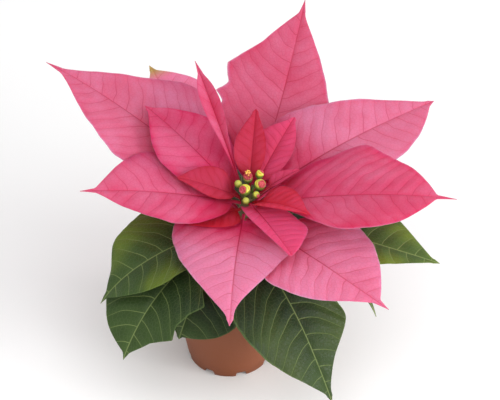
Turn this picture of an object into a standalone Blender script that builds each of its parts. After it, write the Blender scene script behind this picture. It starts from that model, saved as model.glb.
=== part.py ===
"""Poinsettia with pink bracts in a small terracotta-coloured nursery pot.

Sizes are in millimetres and angles in degrees until a mesh is made, which is in metres. The plant is
laid out round the pot's axis, with -Y towards its front; then everything moves by POT_X and POT_Y, so
that the middle of its bounding box stands on the origin.
"""
import math

import bmesh
import bpy
import numpy as np

MM = 0.001
GAP = 0.3
SEAT_GAP = 0.5
POT_X, POT_Y = -9.6, -20.6
EMPTY = "poinsettia"

# The pot
POT_HEIGHT = 68.0
POT_FOOT_RADIUS = 27.5
POT_TOP_RADIUS = 39.0
WALL = 1.4
COLLAR_HEIGHT = 10.0
COLLAR_STEP = 0.8
RIM_ROUND = 0.5
FLOOR_RECESS = 4.0
FOOT_RING_WIDTH = 4.0
NOTCHES = 8
NOTCH_WIDTH = 7.0
NOTCH_TOP_SHARE = 0.76
NOTCH_HEIGHT = 3.2
NOTCH_START = -119.0
DRAIN_HOLES = 5
DRAIN_RADIUS = 2.6
DRAIN_CIRCLE = 14.0
DRAIN_START = 0.3
DRAIN_SIDES = 12
POT_SIDES = 48
POT_SMOOTH_ANGLE = 30.0
CUTTER_EXCESS = 1.0

# The soil
SOIL_TOP = 57.0
SOIL_MOUND = 2.0
SOIL_COLLAR = 6.0
SOIL_EDGE = 1.0
SOIL_SHOULDER, SOIL_SHOULDER_RISE = 0.7, 0.5

# The stem, rooted in the soil and leaning a little to its top
STEM_FOOT = 30.0
TOP = np.array((12.0, 4.0, 128.0))
STEM_RADIUS_LOW, STEM_RADIUS_HIGH = 3.5, 3.0
KNOT_RADIUS = 4.6
KNOT_HEIGHT = 5.0
KNOT_DOME = 1.0
KNOT_TOP_SHARE = 0.7
STEM_BEND = 1.3
STEM_SIDES = 12
STEM_RINGS = (30, 44, 57, 66, 76, 86, 96, 106, 114, 120, 123.5, 126, 128)

# A leaf's cross-section: shares of its half width, from the right edge over the top to the left edge
TOP_ROW = (-1.0, -0.5, 0.0, 0.5, 1.0)
STALK_STATIONS = (0.0, 0.35, 0.75)
BLADE_STATIONS = (0.0, 0.04, 0.10, 0.19, 0.30, 0.42, 0.54, 0.66, 0.78, 0.88, 0.95, 1.0)
THIRDS = (0.0, 1 / 3, 2 / 3, 1.0)
PATH_STEPS = 240

# The midrib's half thickness at the tip, the share of its width it loses on the way there, the share
# of the blade over which the fold opens, and how plump a section is halfway out from the midrib
RIB_TIP = 0.35
RIB_TAPER = 0.8
FOLD_START = 0.08
STALK_PLUMP, BLADE_PLUMP = 0.8, 0.55
BLADE_START = 0.03
HEART_START = 0.03
HEART_POWER = 5
POINT_START = 0.1

# A lobe that spreads further than this is rounded; a narrower one is a tooth, drawn to a point
ROUND_LOBE = 0.15
LOBE_POINT = 1.2

# How a leaf grows where its own row says nothing else. depth: its seat below the stem's top.
# heading: the way it points, anticlockwise from +X. turn and rise: how its midrib turns aside and
# climbs, at each third of its length. stalk and blade: lengths. half: half widths on the right and
# the left. base and tip: how full the blade is at each end. fold: how far both halves lift at the
# base and the tip. roll: how far the left side lifts and the right one drops. heart: how far the
# base reaches back past the stalk. curl: how far the edges bend down. lobes: side (-1 right, 1 left),
# place along the blade, height, spread.
# drip and drip_half: the share of the blade that is its drawn-out tip, and the half width there.
PLAIN_LEAF = dict(
    turn=(0, 0, 0, 0), rise=(20, 10, 0, -10), stalk=15, blade=80, half=(25, 25), base=0.75, tip=1.3,
    fold=(12, 8), roll=(0, 0, 0, 0), heart=0, curl=0.08, lobes=(), stem=1.1,
    drip=0.07, drip_half=2,
)

BRACTS = {
    "bract_far_left": dict(
        depth=15, heading=126, turn=(0, 18, 25, 28), rise=(19, 20, 20, 14), stalk=24, blade=139,
        half=(41, 38), base=(0.6, 0.8), tip=(1.1, 1.15), fold=(10, 8),
        lobes=((-1, 0.42, 8, 0.26),),
    ),
    "bract_inner_left": dict(
        depth=5.5, heading=136, rise=(26, 22, 15, 10), stalk=8, blade=83, half=(26, 27),
        base=(0.9, 0.8), tip=(0.9, 1.1), fold=(12, 6), drip=0.04,
    ),
    "bract_left": dict(
        depth=5, heading=184, rise=(16, 12, 6, 0), stalk=5, blade=95, half=(33, 26),
        base=(1.2, 0.6), tip=(1.0, 0.95), roll=(0, -8, -8, 0), fold=(10, 8), drip=0.09,
    ),
    "bract_front": dict(
        depth=12, heading=-96, turn=(0, 0, 2, 3), rise=(8, 2, -6, -14), stalk=7, blade=89,
        half=(42, 36), base=(0.28, 0.6), tip=(1.1, 1.7), roll=(0, 4, 4, 0), fold=(8, 4), heart=11, drip=0.05,
    ),
    "bract_front_right": dict(
        depth=16, heading=-46, rise=(9, 3, -1, -1), stalk=20, blade=100, half=(34, 35), base=0.7,
        tip=(1.1, 0.9), roll=(0, 8, 8, 6), drip=0.08,
    ),
    "bract_right": dict(
        depth=7, heading=-13, rise=(24, 16, 10, 2), stalk=12, blade=118, half=(36, 41),
        base=(1.25, 0.75), tip=0.85, fold=(10, 8), drip=0.1, lobes=((1, 0.46, 5, 0.18),),
    ),
    "bract_rear_right": dict(
        depth=9, heading=33, rise=(24, 12, 4, 0), stalk=18, blade=127, half=(29, 36),
        base=(1.2, 0.3), tip=(0.95, 1.0), roll=(0, 18, 20, 16), fold=(14, 10), drip=0.03,
    ),
    "bract_rear": dict(
        depth=13, heading=73, turn=(0, 0, 0, 2), rise=(6, 24, 36, 38), stalk=20, blade=135,
        half=(35, 36), base=(0.6, 0.8), tip=(1.1, 0.95), fold=(6, 6), drip=0.06,
        lobes=((1, 0.62, 11, 0.146), (1, 0.47, 8, 0.05), (1, 0.34, 6, 0.15)),
    ),
    "bract_folded": dict(
        depth=3, heading=116.5, rise=(44, 42, 39, 38), stalk=10, blade=80, half=(7, 13),
        base=(2.2, 1.6), tip=(1.0, 0.9), fold=(65, 35), drip=0.1,
    ),
    "bract_behind": dict(
        depth=19, heading=118.5, rise=(18, 18, 17, 12), stalk=22, blade=109, half=(29, 24),
        base=(1.8, 0.8), tip=(1.0, 1.0), drip=0.04,
    ),
}

SMALL_BRACTS = {
    "small_bract_rear": dict(
        depth=1, heading=84, rise=(45, 42, 36, 30), stalk=8, blade=45, half=(9, 12), fold=(20, 16),
        tip=1.1, drip=0.04,
    ),
    "small_bract_rear_right": dict(
        depth=1.5, heading=59, rise=(34, 28, 24, 18), stalk=8, blade=50, half=(13, 17), fold=(16, 12),
        tip=1.0, drip=0.04,
    ),
    "small_bract_left": dict(
        depth=1, heading=179, rise=(30, 24, 20, 12), stalk=3, blade=38, half=(14, 8), base=(0.6, 0.6),
        tip=(0.9, 1.0), roll=(0, -20, -20, -10), fold=(14, 12), drip=0.04,
    ),
    "small_bract_dark": dict(
        depth=9, heading=208, rise=(8, 4, 0, -2), stalk=2.5, blade=33.5, half=(9, 14), base=0.4,
        fold=(8, 6), tip=0.9,
    ),
    "small_bract_low_right": dict(
        depth=2, heading=-42, rise=(32, 24, 14, 6), stalk=3, blade=45, half=(10, 15), base=0.5,
        tip=1.0, fold=(24, 20),
    ),
    "small_bract_right": dict(
        depth=1, heading=17, rise=(36, 30, 24, 18), stalk=9, blade=22, half=(6, 6), fold=(34, 30),
    ),
    "small_bract_front": dict(
        depth=3, heading=-66, rise=(14, 8, 4, 0), stalk=2.5, blade=58.5, half=(8.4, 17),
        base=(0.28, 0.75), tip=(1.0, 0.6), fold=(16, 12), heart=(6.5, 0), drip=0.02,
        lobes=((1, 0.72, 3, 0.2),),
    ),
}

LEAVES = {
    "leaf_left": dict(
        depth=22, heading=207, rise=(8, -4, -22, -52), stalk=24, blade=78, half=(37, 27),
        base=(0.4, 0.55), tip=(1.05, 0.8), drip=0.08, lobes=((-1, 0.62, 4, 0.16),),
    ),
    "leaf_front_left": dict(
        depth=28, heading=222, turn=(0, 0, 4, 12), rise=(12, -14, -36, -56), stalk=32, blade=80,
        half=(35, 28), base=0.7, tip=(0.8, 1.0), drip=0.05,
        lobes=((1, 0.66, 8, 0.12), (1, 0.3, 8, 0.12)),
    ),
    "leaf_small": dict(
        depth=52, heading=236, rise=(32, 0, -46, -60), stalk=22, blade=46, half=(18, 32),
        base=(0.6, 0.4), tip=(1.0, 0.45), roll=(0, -20, -36, -40), drip=0.04,
    ),
    "leaf_front": dict(
        depth=33, heading=-54, rise=(10, -30, -48, -56), stalk=24, blade=98, half=(42, 28),
        base=(0.5, 0.7), tip=(1.1, 1.3), drip=0.04, lobes=((1, 0.55, 7, 0.2),),
    ),
    "leaf_right": dict(
        depth=20, heading=-17, rise=(14, 2, -7, -9), stalk=34, blade=90, half=(23, 32), tip=1.1,
        drip=0.04,
    ),
    "leaf_low_right": dict(
        depth=36, heading=-31, turn=(0, 0, 0, -30), rise=(24, 12, -14, -50), stalk=32, blade=77,
        half=(12, 18), drip=0.2,
    ),
    "leaf_rear": dict(
        depth=40, heading=87, rise=(10, 2, -10, -30), stalk=12, blade=90, half=(34, 30), base=0.5,
    ),
    "leaf_rear_left": dict(
        depth=47, heading=129, rise=(14, 2, -16, -34), stalk=20, blade=70, half=(27, 25),
    ),
    "leaf_rear_right": dict(
        depth=45, heading=42, rise=(14, 2, -14, -34), stalk=14, blade=88, half=(28, 28),
    ),
}

# The cyathia: the middle of each cup from the stem's top, its radius, and the way its gland faces
CYATHIA = (
    ((0.0, 6.0, 9.0), 2.8, 100),
    ((7.2, 8.7, 10.0), 2.5, 60),
    ((7.5, 1.0, 8.0), 3.4, 160),
    ((-6.0, 3.0, 7.0), 2.3, 130),
    ((-1.8, -2.7, 7.0), 3.4, 30),
    ((5.0, -5.0, 5.0), 2.2, -40),
    ((-1.2, -8.5, 3.0), 2.2, -100),
)
PEDUNCLE_CIRCLE = 3.9
PEDUNCLE_RADIUS = 0.7
PEDUNCLE_FOOT_SHARE = 1.2
PEDUNCLE_UPTURNS = (1.5, 1.0)
CUP_LEAN = 0.06
# Rings of a cup: place along its axis and radius, both as shares of the cup's radius
CUP_RINGS = ((-0.85, 0.6), (-0.4, 0.93), (0.15, 1.0), (0.65, 0.75), (1.0, 0.4))
CUP_SIDES = 10
CUP_FOOT = 1.15
# Rings of a gland, in the same shares, and where its middle is on the cup
GLAND_RINGS = ((-0.38, 0.28), (-0.1, 0.5), (0.22, 0.45), (0.4, 0.2))
GLAND_OUT, GLAND_UP = 0.72, 0.45
GLAND_SIDES = 8


def empty_scene():
    """Removes what the scene holds."""
    for thing in list(bpy.data.objects):
        bpy.data.objects.remove(thing, do_unlink=True)


def material(name, colour, roughness):
    """A plain Principled material."""
    made = bpy.data.materials.new(name)
    made.use_nodes = True
    shader = made.node_tree.nodes["Principled BSDF"]
    shader.inputs["Base Color"].default_value = (*colour, 1.0)
    shader.inputs["Roughness"].default_value = roughness
    shader.inputs["Metallic"].default_value = 0.0
    return made


def add_object(name, points, faces, look, smooth_angle=50.0):
    """An object from points in millimetres round the pot's axis, held by the empty that places them."""
    mesh = bpy.data.meshes.new(name)
    mesh.from_pydata((np.asarray(points) * MM).tolist(), [], faces)
    made = bpy.data.objects.new(name, mesh)
    bpy.context.scene.collection.objects.link(made)
    made.parent = bpy.data.objects[EMPTY]
    body = bmesh.new()
    body.from_mesh(mesh)
    bmesh.ops.recalc_face_normals(body, faces=body.faces)
    body.to_mesh(mesh)
    body.free()
    mesh.shade_smooth()
    mesh.set_sharp_from_angle(angle=math.radians(smooth_angle))
    if look:
        mesh.materials.append(look)
    return made


def tube_faces(rings, count):
    """Faces of a closed tube of rings, each with count points, with a cap at both ends."""
    faces = [tuple(range(count))]
    for ring in range(rings - 1):
        for k in range(count):
            here, beside = ring * count + k, ring * count + (k + 1) % count
            faces.append((here, here + count, beside + count, beside))
    faces.append(tuple(reversed(range((rings - 1) * count, rings * count))))
    return faces


def stem_centre(height):
    """The stem's middle at a height: upright in the soil, and leaning above it."""
    share = max(0.0, (height - SOIL_TOP) / (TOP[2] - SOIL_TOP)) ** STEM_BEND
    return np.array((TOP[0] * share, TOP[1] * share, height))


def stem_radius(height):
    """The stem's radius at a height, widening to the knot that carries the flowers."""
    share = (height - STEM_FOOT) / (TOP[2] - STEM_FOOT)
    knot = np.clip((height - (TOP[2] - KNOT_HEIGHT)) / KNOT_HEIGHT, 0.0, 1.0)
    plain = STEM_RADIUS_LOW + (STEM_RADIUS_HIGH - STEM_RADIUS_LOW) * share
    return plain + (KNOT_RADIUS - STEM_RADIUS_HIGH) * knot * knot * (3 - 2 * knot)


def midrib(leaf, shares):
    """A midrib's points, directions, left sides and upward normals at shares of its length."""
    fine = np.linspace(0.0, 1.0, PATH_STEPS + 1)
    rise = np.radians(np.interp(fine, THIRDS, leaf["rise"]))
    way = np.radians(leaf["heading"] + np.interp(fine, THIRDS, leaf["turn"]))
    roll = np.radians(np.interp(fine, THIRDS, leaf["roll"]))[:, None]
    along = np.stack((np.cos(rise) * np.cos(way), np.cos(rise) * np.sin(way), np.sin(rise)), axis=1)
    flat = np.stack((-np.sin(way), np.cos(way), np.zeros_like(way)), axis=1)
    above = np.cross(along, flat)
    left = flat * np.cos(roll) + above * np.sin(roll)
    above = above * np.cos(roll) - flat * np.sin(roll)
    step = (leaf["stalk"] + leaf["blade"]) / PATH_STEPS
    path = np.vstack((np.zeros(3), np.cumsum((along[1:] + along[:-1]) / 2 * step, axis=0)))
    path += leaf_seat(leaf)
    parts = []
    for values in (path, along, left, above):
        parts.append(np.stack([np.interp(shares, fine, values[:, i]) for i in range(3)], axis=1))
    return parts


def leaf_seat(leaf):
    """Where a leaf's stalk starts, just clear of the stem's side at the height of its upper edge."""
    way, rise = math.radians(leaf["heading"]), math.radians(leaf["rise"][0])
    thick = leaf["stem"] + RIB_TIP
    edge = TOP[2] - leaf["depth"] + thick
    reach = stem_radius(edge) + SEAT_GAP + thick * abs(math.sin(rise))
    return stem_centre(edge) + (reach * math.cos(way), reach * math.sin(way), -thick)


def on_side(value, side):
    """A value for one side: the first of a pair is the right one, and a single value serves both."""
    if isinstance(value, tuple):
        return value[0] if side < 0 else value[1]
    return value


def half_width(leaf, t, side):
    """A blade's half width at shares t of the blade's length, on one side."""
    half, p, q = (on_side(leaf[word], side) for word in ("half", "base", "tip"))
    peak = (p / (p + q)) ** p * (q / (p + q)) ** q
    inside = np.clip(t, 0.0, 1.0)
    body = np.clip(inside / (1 - leaf["drip"]), 0.0, 1.0)
    wide = half * body**p * (1 - body) ** q / peak
    for lobe_side, place, height, spread in leaf["lobes"]:
        if lobe_side == side:
            tooth = np.clip(1 - np.abs(inside - place) / spread, 0.0, 1.0)
            rounded = tooth * tooth * (3 - 2 * tooth)
            wide = wide + height * (rounded if spread > ROUND_LOBE else tooth**LOBE_POINT)
    point = leaf["drip_half"] * np.clip((1 - inside) / leaf["drip"], 0.0, 1.0)
    return np.hypot(wide, point * np.clip(t / POINT_START, 0, 1))


def leaf_points(leaf, shares, across):
    """Points on a leaf's middle surface: one row of places across for each share of its length."""
    length = leaf["stalk"] + leaf["blade"]
    path, along, left, above = midrib(leaf, shares)
    t = (np.asarray(shares) * length - leaf["stalk"]) / leaf["blade"]
    inside = np.clip(t, 0.0, 1.0)
    stalk = leaf["stem"] * (1 - RIB_TAPER * inside)
    fold = np.radians(np.interp(inside, (0, 1), leaf["fold"])) * np.clip(inside / FOLD_START, 0, 1)
    rows = []
    for place in across:
        side = -1 if place < 0 else 1
        wide = np.hypot(half_width(leaf, t, side), stalk)
        share = abs(place)
        blade = wide - stalk
        out = (side * share * wide * np.cos(fold))[:, None] * left
        lift = share * blade * np.sin(fold) - leaf["curl"] * blade * share**2
        reach = on_side(leaf["heart"], side) * np.clip(inside / HEART_START, 0, 1)
        back = reach * share**2 * (1 - inside) ** HEART_POWER
        rows.append(path + out + lift[:, None] * above - back[:, None] * along)
    return np.stack(rows, axis=1), t, above


def leaf_shares(leaf):
    """Shares of a leaf's length at which its body has rings, with one at each lobe."""
    length = leaf["stalk"] + leaf["blade"]
    places = set(BLADE_STATIONS)
    for _, place, _, _ in leaf["lobes"]:
        nearest = min(places, key=lambda known: abs(known - place))
        if 0 < nearest < 1:
            places.discard(nearest)
        places.add(place)
    stalk = [share * leaf["stalk"] for share in STALK_STATIONS]
    return np.array(stalk + [leaf["stalk"] + place * leaf["blade"] for place in sorted(places)]) / length


def add_leaf(name, leaf, look):
    """A leaf or bract with its stalk, as one closed body that thins to its edge."""
    leaf = {**PLAIN_LEAF, **leaf}
    middle, t, above = leaf_points(leaf, leaf_shares(leaf), TOP_ROW)
    inside = np.clip(t, 0.0, 1.0)
    thick = leaf["stem"] * (1 - inside) ** 2 + RIB_TIP
    rings = []
    for ring in range(len(t)):
        bulge = thick[ring] * above[ring]
        plump = BLADE_PLUMP if t[ring] > BLADE_START else STALK_PLUMP
        lift = (0.0, plump, 1.0, plump, 0.0)
        over = [middle[ring][k] + lift[k] * bulge for k in range(5)]
        under = [middle[ring][k] - lift[k] * bulge for k in (3, 2, 1)]
        rings.append(over + under)
    count = len(rings[0])
    return add_object(name, np.concatenate(rings), tube_faces(len(rings), count), look)


def add_turned(name, outline, look):
    """A body turned round the pot's axis from an outline of radius and height that ends on the axis."""
    points, rows, faces = [], [], []
    for radius, height in outline:
        turns = range(POT_SIDES) if radius > 0 else (0,)
        rows.append([len(points) + k for k in turns])
        for k in turns:
            turn = 2 * math.pi * k / POT_SIDES
            points.append((radius * math.cos(turn), radius * math.sin(turn), height))
    for row, below in zip(rows, rows[1:]):
        for k in range(POT_SIDES):
            after = (k + 1) % POT_SIDES
            if len(row) == 1:
                faces.append((row[0], below[k], below[after]))
            elif len(below) == 1:
                faces.append((row[k], below[0], row[after]))
            else:
                faces.append((row[k], below[k], below[after], row[after]))
    return add_object(name, points, faces, look, POT_SMOOTH_ANGLE)


def add_tube(name, rings, look):
    """A closed body through rings of points."""
    return add_object(name, np.concatenate(rings), tube_faces(len(rings), len(rings[0])), look)


def circle(centre, axis, radius, sides):
    """A ring of points round an axis."""
    axis = np.asarray(axis, float) / np.linalg.norm(axis)
    across = np.cross(axis, (0.0, 1.0, 0.0))
    across /= np.linalg.norm(across)
    up = np.cross(axis, across)
    turns = np.arange(sides) * 2 * math.pi / sides
    return centre + radius * (np.outer(np.cos(turns), across) + np.outer(np.sin(turns), up))


def add_helper(target, name, helper, operation):
    """Joins or cuts a hidden helper with a target."""
    helper.hide_render = True
    helper.display_type = "WIRE"
    modifier = target.modifiers.new(name, "BOOLEAN")
    modifier.operation = operation
    modifier.solver = "EXACT"
    modifier.object = helper


def wall_radius(height):
    """The radius of the pot's outside below its collar."""
    top = POT_TOP_RADIUS - COLLAR_STEP
    return POT_FOOT_RADIUS + (top - POT_FOOT_RADIUS) * height / POT_HEIGHT


def add_pot(look):
    """The hollow pot, with its collar, its foot ring's notches and its drain holes."""
    floor_top = FLOOR_RECESS + WALL
    collar = POT_HEIGHT - COLLAR_HEIGHT
    ring = POT_FOOT_RADIUS - FOOT_RING_WIDTH
    outline = (
        (0.0, floor_top),
        (wall_radius(floor_top) - WALL, floor_top),
        (wall_radius(collar) - WALL, collar),
        (POT_TOP_RADIUS - COLLAR_STEP - WALL, POT_HEIGHT - RIM_ROUND),
        (POT_TOP_RADIUS - COLLAR_STEP - WALL + RIM_ROUND, POT_HEIGHT),
        (POT_TOP_RADIUS - RIM_ROUND, POT_HEIGHT),
        (POT_TOP_RADIUS, POT_HEIGHT - RIM_ROUND),
        (wall_radius(collar) + COLLAR_STEP, collar + COLLAR_STEP),
        (wall_radius(collar), collar),
        (POT_FOOT_RADIUS, 0.0),
        (ring, 0.0),
        (ring, FLOOR_RECESS),
        (0.0, FLOOR_RECESS),
    )
    pot = add_turned("pot", outline, look)
    for k in range(NOTCHES):
        turn = math.radians(NOTCH_START + 360.0 * k / NOTCHES)
        way = np.array((math.cos(turn), math.sin(turn), 0.0))
        aside = np.array((-way[1], way[0], 0.0))
        middle = way * (POT_FOOT_RADIUS - FOOT_RING_WIDTH / 2)
        corners = []
        for out in (-FOOT_RING_WIDTH, FOOT_RING_WIDTH):
            for height, wide in ((-CUTTER_EXCESS, 1.0), (NOTCH_HEIGHT, NOTCH_TOP_SHARE)):
                for side in (-wide, wide):
                    corners.append(middle + way * out + aside * side * NOTCH_WIDTH / 2 + (0, 0, height))
        faces = ((0, 1, 3, 2), (4, 6, 7, 5), (0, 4, 5, 1), (2, 3, 7, 6), (0, 2, 6, 4), (1, 5, 7, 3))
        add_helper(pot, f"foot_notch_{k + 1}", add_object(f"foot_notch_{k + 1}", corners, faces, None),
                   "DIFFERENCE")
    for k in range(DRAIN_HOLES):
        turn = 2 * math.pi * (k + DRAIN_START) / DRAIN_HOLES
        middle = np.array((DRAIN_CIRCLE * math.cos(turn), DRAIN_CIRCLE * math.sin(turn), 0.0))
        rings = [
            circle(middle + (0, 0, height), (0, 0, 1), DRAIN_RADIUS, DRAIN_SIDES)
            for height in (FLOOR_RECESS - CUTTER_EXCESS, floor_top + CUTTER_EXCESS)
        ]
        hole = add_tube(f"drain_hole_{k + 1}", rings, None)
        add_helper(pot, f"drain_hole_{k + 1}", hole, "DIFFERENCE")


def add_soil(look):
    """The potting mix, a little lower than the rim, with the hole that the stem's foot stands in."""
    bottom = FLOOR_RECESS + WALL + GAP
    hole = stem_radius(STEM_FOOT) + GAP
    foot = wall_radius(bottom) - WALL - GAP
    edge = wall_radius(SOIL_TOP - SOIL_EDGE) - WALL - GAP
    outline = (
        (0.0, STEM_FOOT - GAP),
        (hole, STEM_FOOT - GAP),
        (hole, SOIL_TOP + SOIL_MOUND),
        (hole + SOIL_COLLAR, SOIL_TOP + SOIL_MOUND),
        (edge * SOIL_SHOULDER, SOIL_TOP + SOIL_MOUND * SOIL_SHOULDER_RISE),
        (edge - SOIL_EDGE, SOIL_TOP),
        (edge, SOIL_TOP - SOIL_EDGE),
        (foot, bottom),
        (0.0, bottom),
    )
    add_turned("soil", outline, look)


def add_stem(look):
    """The stem, from its foot in the soil to the rounded knot at its top."""
    rings = []
    for height in STEM_RINGS:
        rings.append(circle(stem_centre(height), (0, 0, 1), stem_radius(height), STEM_SIDES))
    rings.append(circle(TOP + (0, 0, KNOT_DOME), (0, 0, 1), KNOT_RADIUS * KNOT_TOP_SHARE, STEM_SIDES))
    add_tube("stem", rings, look)


def add_cyathium(name, middle, radius, gland_way, look):
    """A cyathium: its stalk from the knot, its cup, and the gland on the cup's side."""
    offset = np.array(middle)
    flat = offset * (1, 1, 0)
    seat = TOP + flat / max(np.linalg.norm(flat), 1e-6) * PEDUNCLE_CIRCLE
    seat = seat + (0, 0, KNOT_DOME + SEAT_GAP)
    centre = TOP + offset
    axis = np.array((offset[0] * CUP_LEAN, offset[1] * CUP_LEAN, 1.0))
    axis /= np.linalg.norm(axis)
    foot = centre - CUP_FOOT * radius * axis
    halfway = (seat + foot) / 2
    rings = [
        circle(seat, (foot - seat) + (0, 0, PEDUNCLE_UPTURNS[0]), PEDUNCLE_RADIUS, CUP_SIDES),
        circle(halfway, (foot - seat) + (0, 0, PEDUNCLE_UPTURNS[1]), PEDUNCLE_RADIUS, CUP_SIDES),
        circle(foot, axis, PEDUNCLE_RADIUS * PEDUNCLE_FOOT_SHARE, CUP_SIDES),
    ]
    for along, wide in CUP_RINGS:
        rings.append(circle(centre + along * radius * axis, axis, wide * radius, CUP_SIDES))
    cup = add_tube(name, rings, look)
    way = math.radians(gland_way)
    out = np.array((math.cos(way), math.sin(way), 0.0))
    gland = []
    for along, wide in GLAND_RINGS:
        place = centre + ((GLAND_OUT + along) * out + GLAND_UP * axis) * radius
        gland.append(circle(place, out, wide * radius, GLAND_SIDES))
    add_helper(cup, f"{name}_gland", add_tube(f"{name}_gland", gland, None), "UNION")


def main():
    """Builds every piece under the empty that places the plant."""
    empty_scene()
    holder = bpy.data.objects.new(EMPTY, None)
    bpy.context.scene.collection.objects.link(holder)
    holder.location = (POT_X * MM, POT_Y * MM, 0.0)
    add_pot(material("terracotta_plastic", (0.26, 0.105, 0.055), 0.45))
    add_soil(material("potting_mix", (0.05, 0.035, 0.025), 0.95))
    add_stem(material("green_stem", (0.09, 0.16, 0.04), 0.55))
    pink = material("pink_bract", (0.72, 0.17, 0.28), 0.55)
    red = material("red_bract", (0.62, 0.05, 0.09), 0.5)
    green = material("green_leaf", (0.06, 0.11, 0.04), 0.5)
    for table, look in ((BRACTS, pink), (SMALL_BRACTS, red), (LEAVES, green)):
        for name, leaf in table.items():
            add_leaf(name, leaf, look)
    yellow = material("yellow_green_cyathium", (0.45, 0.45, 0.06), 0.5)
    for k, (middle, radius, gland_way) in enumerate(CYATHIA):
        add_cyathium(f"cyathium_{k + 1}", middle, radius, gland_way, yellow)
    bpy.context.view_layer.update()


if __name__ == "__main__":
    main()
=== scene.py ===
"""Pink poinsettia in a small terracotta-coloured nursery pot: its looks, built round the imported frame.

Leaves are laid out in millimetres round the pot's axis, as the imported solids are, and are moved to the
frame's place when their mesh is made. Every finished mesh is in metres.
"""
import functools
import math

import bmesh
import bpy
import numpy as np
from mathutils import Matrix, Vector


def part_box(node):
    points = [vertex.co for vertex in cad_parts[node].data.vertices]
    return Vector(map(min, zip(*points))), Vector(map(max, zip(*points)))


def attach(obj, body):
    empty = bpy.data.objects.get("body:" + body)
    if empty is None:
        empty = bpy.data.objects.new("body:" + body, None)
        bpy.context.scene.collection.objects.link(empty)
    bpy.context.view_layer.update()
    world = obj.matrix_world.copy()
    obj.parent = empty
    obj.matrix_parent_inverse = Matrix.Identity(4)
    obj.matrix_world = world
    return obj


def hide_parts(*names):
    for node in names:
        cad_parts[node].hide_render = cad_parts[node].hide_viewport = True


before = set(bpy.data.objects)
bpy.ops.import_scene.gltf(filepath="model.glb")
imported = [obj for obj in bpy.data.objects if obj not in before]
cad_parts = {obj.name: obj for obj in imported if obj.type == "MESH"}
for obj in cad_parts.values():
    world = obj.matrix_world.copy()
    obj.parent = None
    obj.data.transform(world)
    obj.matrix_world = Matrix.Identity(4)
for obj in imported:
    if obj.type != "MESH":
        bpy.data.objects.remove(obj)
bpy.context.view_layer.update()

bl_info = {
    "name": "Potted poinsettia",
    "version": (1, 0, 0),
    "blender": (4, 5, 0),
    "location": "3D View > Sidebar > Poinsettia",
    "description": "Builds the bracts, leaves, flowers, soil and pot of a pink poinsettia",
    "category": "Object",
}

BODY = "root"
MM = 0.001
TURN = 2 * math.pi
GOLDEN_ANGLE = 2.399963
# What the camera and the lights point at, in millimetres round the pot's axis
CAMERA_TARGET = (13.3, 0.0, 128.0)
FLOOR_HALF_WIDTH = 12.0

# The frame's own places: the pot's axis, its sizes, and the stem's foot
POT_LOW, POT_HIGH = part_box("pot")
SOIL_LOW, SOIL_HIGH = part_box("soil")
AXIS = np.array(((POT_LOW.x + POT_HIGH.x) / 2, (POT_LOW.y + POT_HIGH.y) / 2, 0.0))
POT_HEIGHT = (POT_HIGH.z - POT_LOW.z) / MM
POT_TOP_RADIUS = (POT_HIGH.x - POT_LOW.x) / 2 / MM
STEM_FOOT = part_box("stem")[0].z / MM

# The pot's other sizes, in millimetres
POT_FOOT_RADIUS = 27.5
WALL = 1.4
COLLAR_HEIGHT, COLLAR_STEP = 10.0, 0.8
FLOOR_RECESS = 4.0
FOOT_RING_WIDTH = 4.0
NOTCHES, NOTCH_START, NOTCH_HALF_WIDTH = 8, -119.0, 3.6
DRAIN_HOLES, DRAIN_START, DRAIN_CIRCLE, DRAIN_RADIUS = 5, 0.3, 14.0, 2.6

# The stem: upright in the soil, leaning above it, with the knot that carries the flowers at its top
SOIL_TOP = 57.0
TOP = np.array((12.0, 4.0, 128.0))
STEM_RADIUS_LOW, STEM_RADIUS_HIGH = 3.5, 3.0
STEM_BEND = 1.3
KNOT_RADIUS, KNOT_HEIGHT, KNOT_DOME = 4.6, 5.0, 1.0
SEAT_GAP = 0.5
STALK_ROOT = 1.6

# How a leaf's section changes along it
THIRDS = (0.0, 1 / 3, 2 / 3, 1.0)
PATH_STEPS = 400
RIB_TIP, RIB_TAPER = 0.35, 0.8
FOLD_START = 0.08
HEART_START, HEART_POWER = 0.03, 5

# A blade's surface: where along it its skin and its ruffles start, its midrib's groove in millimetres,
# its ruffles' heights and turns, its rows and places, and the first seed of each kind
SKIN_START, RUFFLE_START = 0.07, 0.05
GROOVE_DEPTH, GROOVE_WIDTH = 0.25, 0.7
RUFFLE, FINE_RUFFLE = (0.006, 0.42), (0.002, 1.1)
BLADE_ROWS, BLADE_PLACES = 96, 20
SMALL_ROWS, SMALL_PLACES = 60, 14
BRACT_SEED, SMALL_SEED, LEAF_SEED = 0, 20, 40
SHARP_BLADE, SHARP_POT = math.radians(60.0), math.radians(40.0)

# A lobe that spreads further than this is rounded; a narrower one is a tooth, drawn to a point
ROUND_LOBE = 0.15
LOBE_POINT = 1.2

# Side veins: how far the right half's are set off, and their spacing, slant and curve. One unit along a
# blade's own map is BLADE_UNIT millimetres.
BLADE_UNIT = 100.0
VEIN_OFFSET = 0.45
BRACT_VEINS = (0.5, 0.9)
SMALL_BRACT_SPACING = 0.055
LEAF_VEINS = (0.105, 0.16, 2.2)

# Tones that a skin turns to: a bract at its root, its own deeper crimson darkened further as painted shade
# where the bracts crowd round the flowers, at a green tip and beneath; a leaf at its rim, beside its veins,
# where it yellows, on its stalk and beneath; a stem or a cup where it is ripe
ROOT_CRIMSON_SHADE, TIP_OLIVE, BENEATH_ROSE = (0.2, 0.004, 0.007), (0.30, 0.25, 0.08), (0.66, 0.26, 0.33)
RIM_GREEN, HALO_GREEN, YELLOWED = (0.11, 0.17, 0.05), (0.10, 0.15, 0.04), (0.20, 0.27, 0.025)
STALK_RED, BENEATH_GREEN, RIPE = (0.22, 0.05, 0.035), (0.15, 0.21, 0.085), (0.5, 0.52, 0.08)
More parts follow.
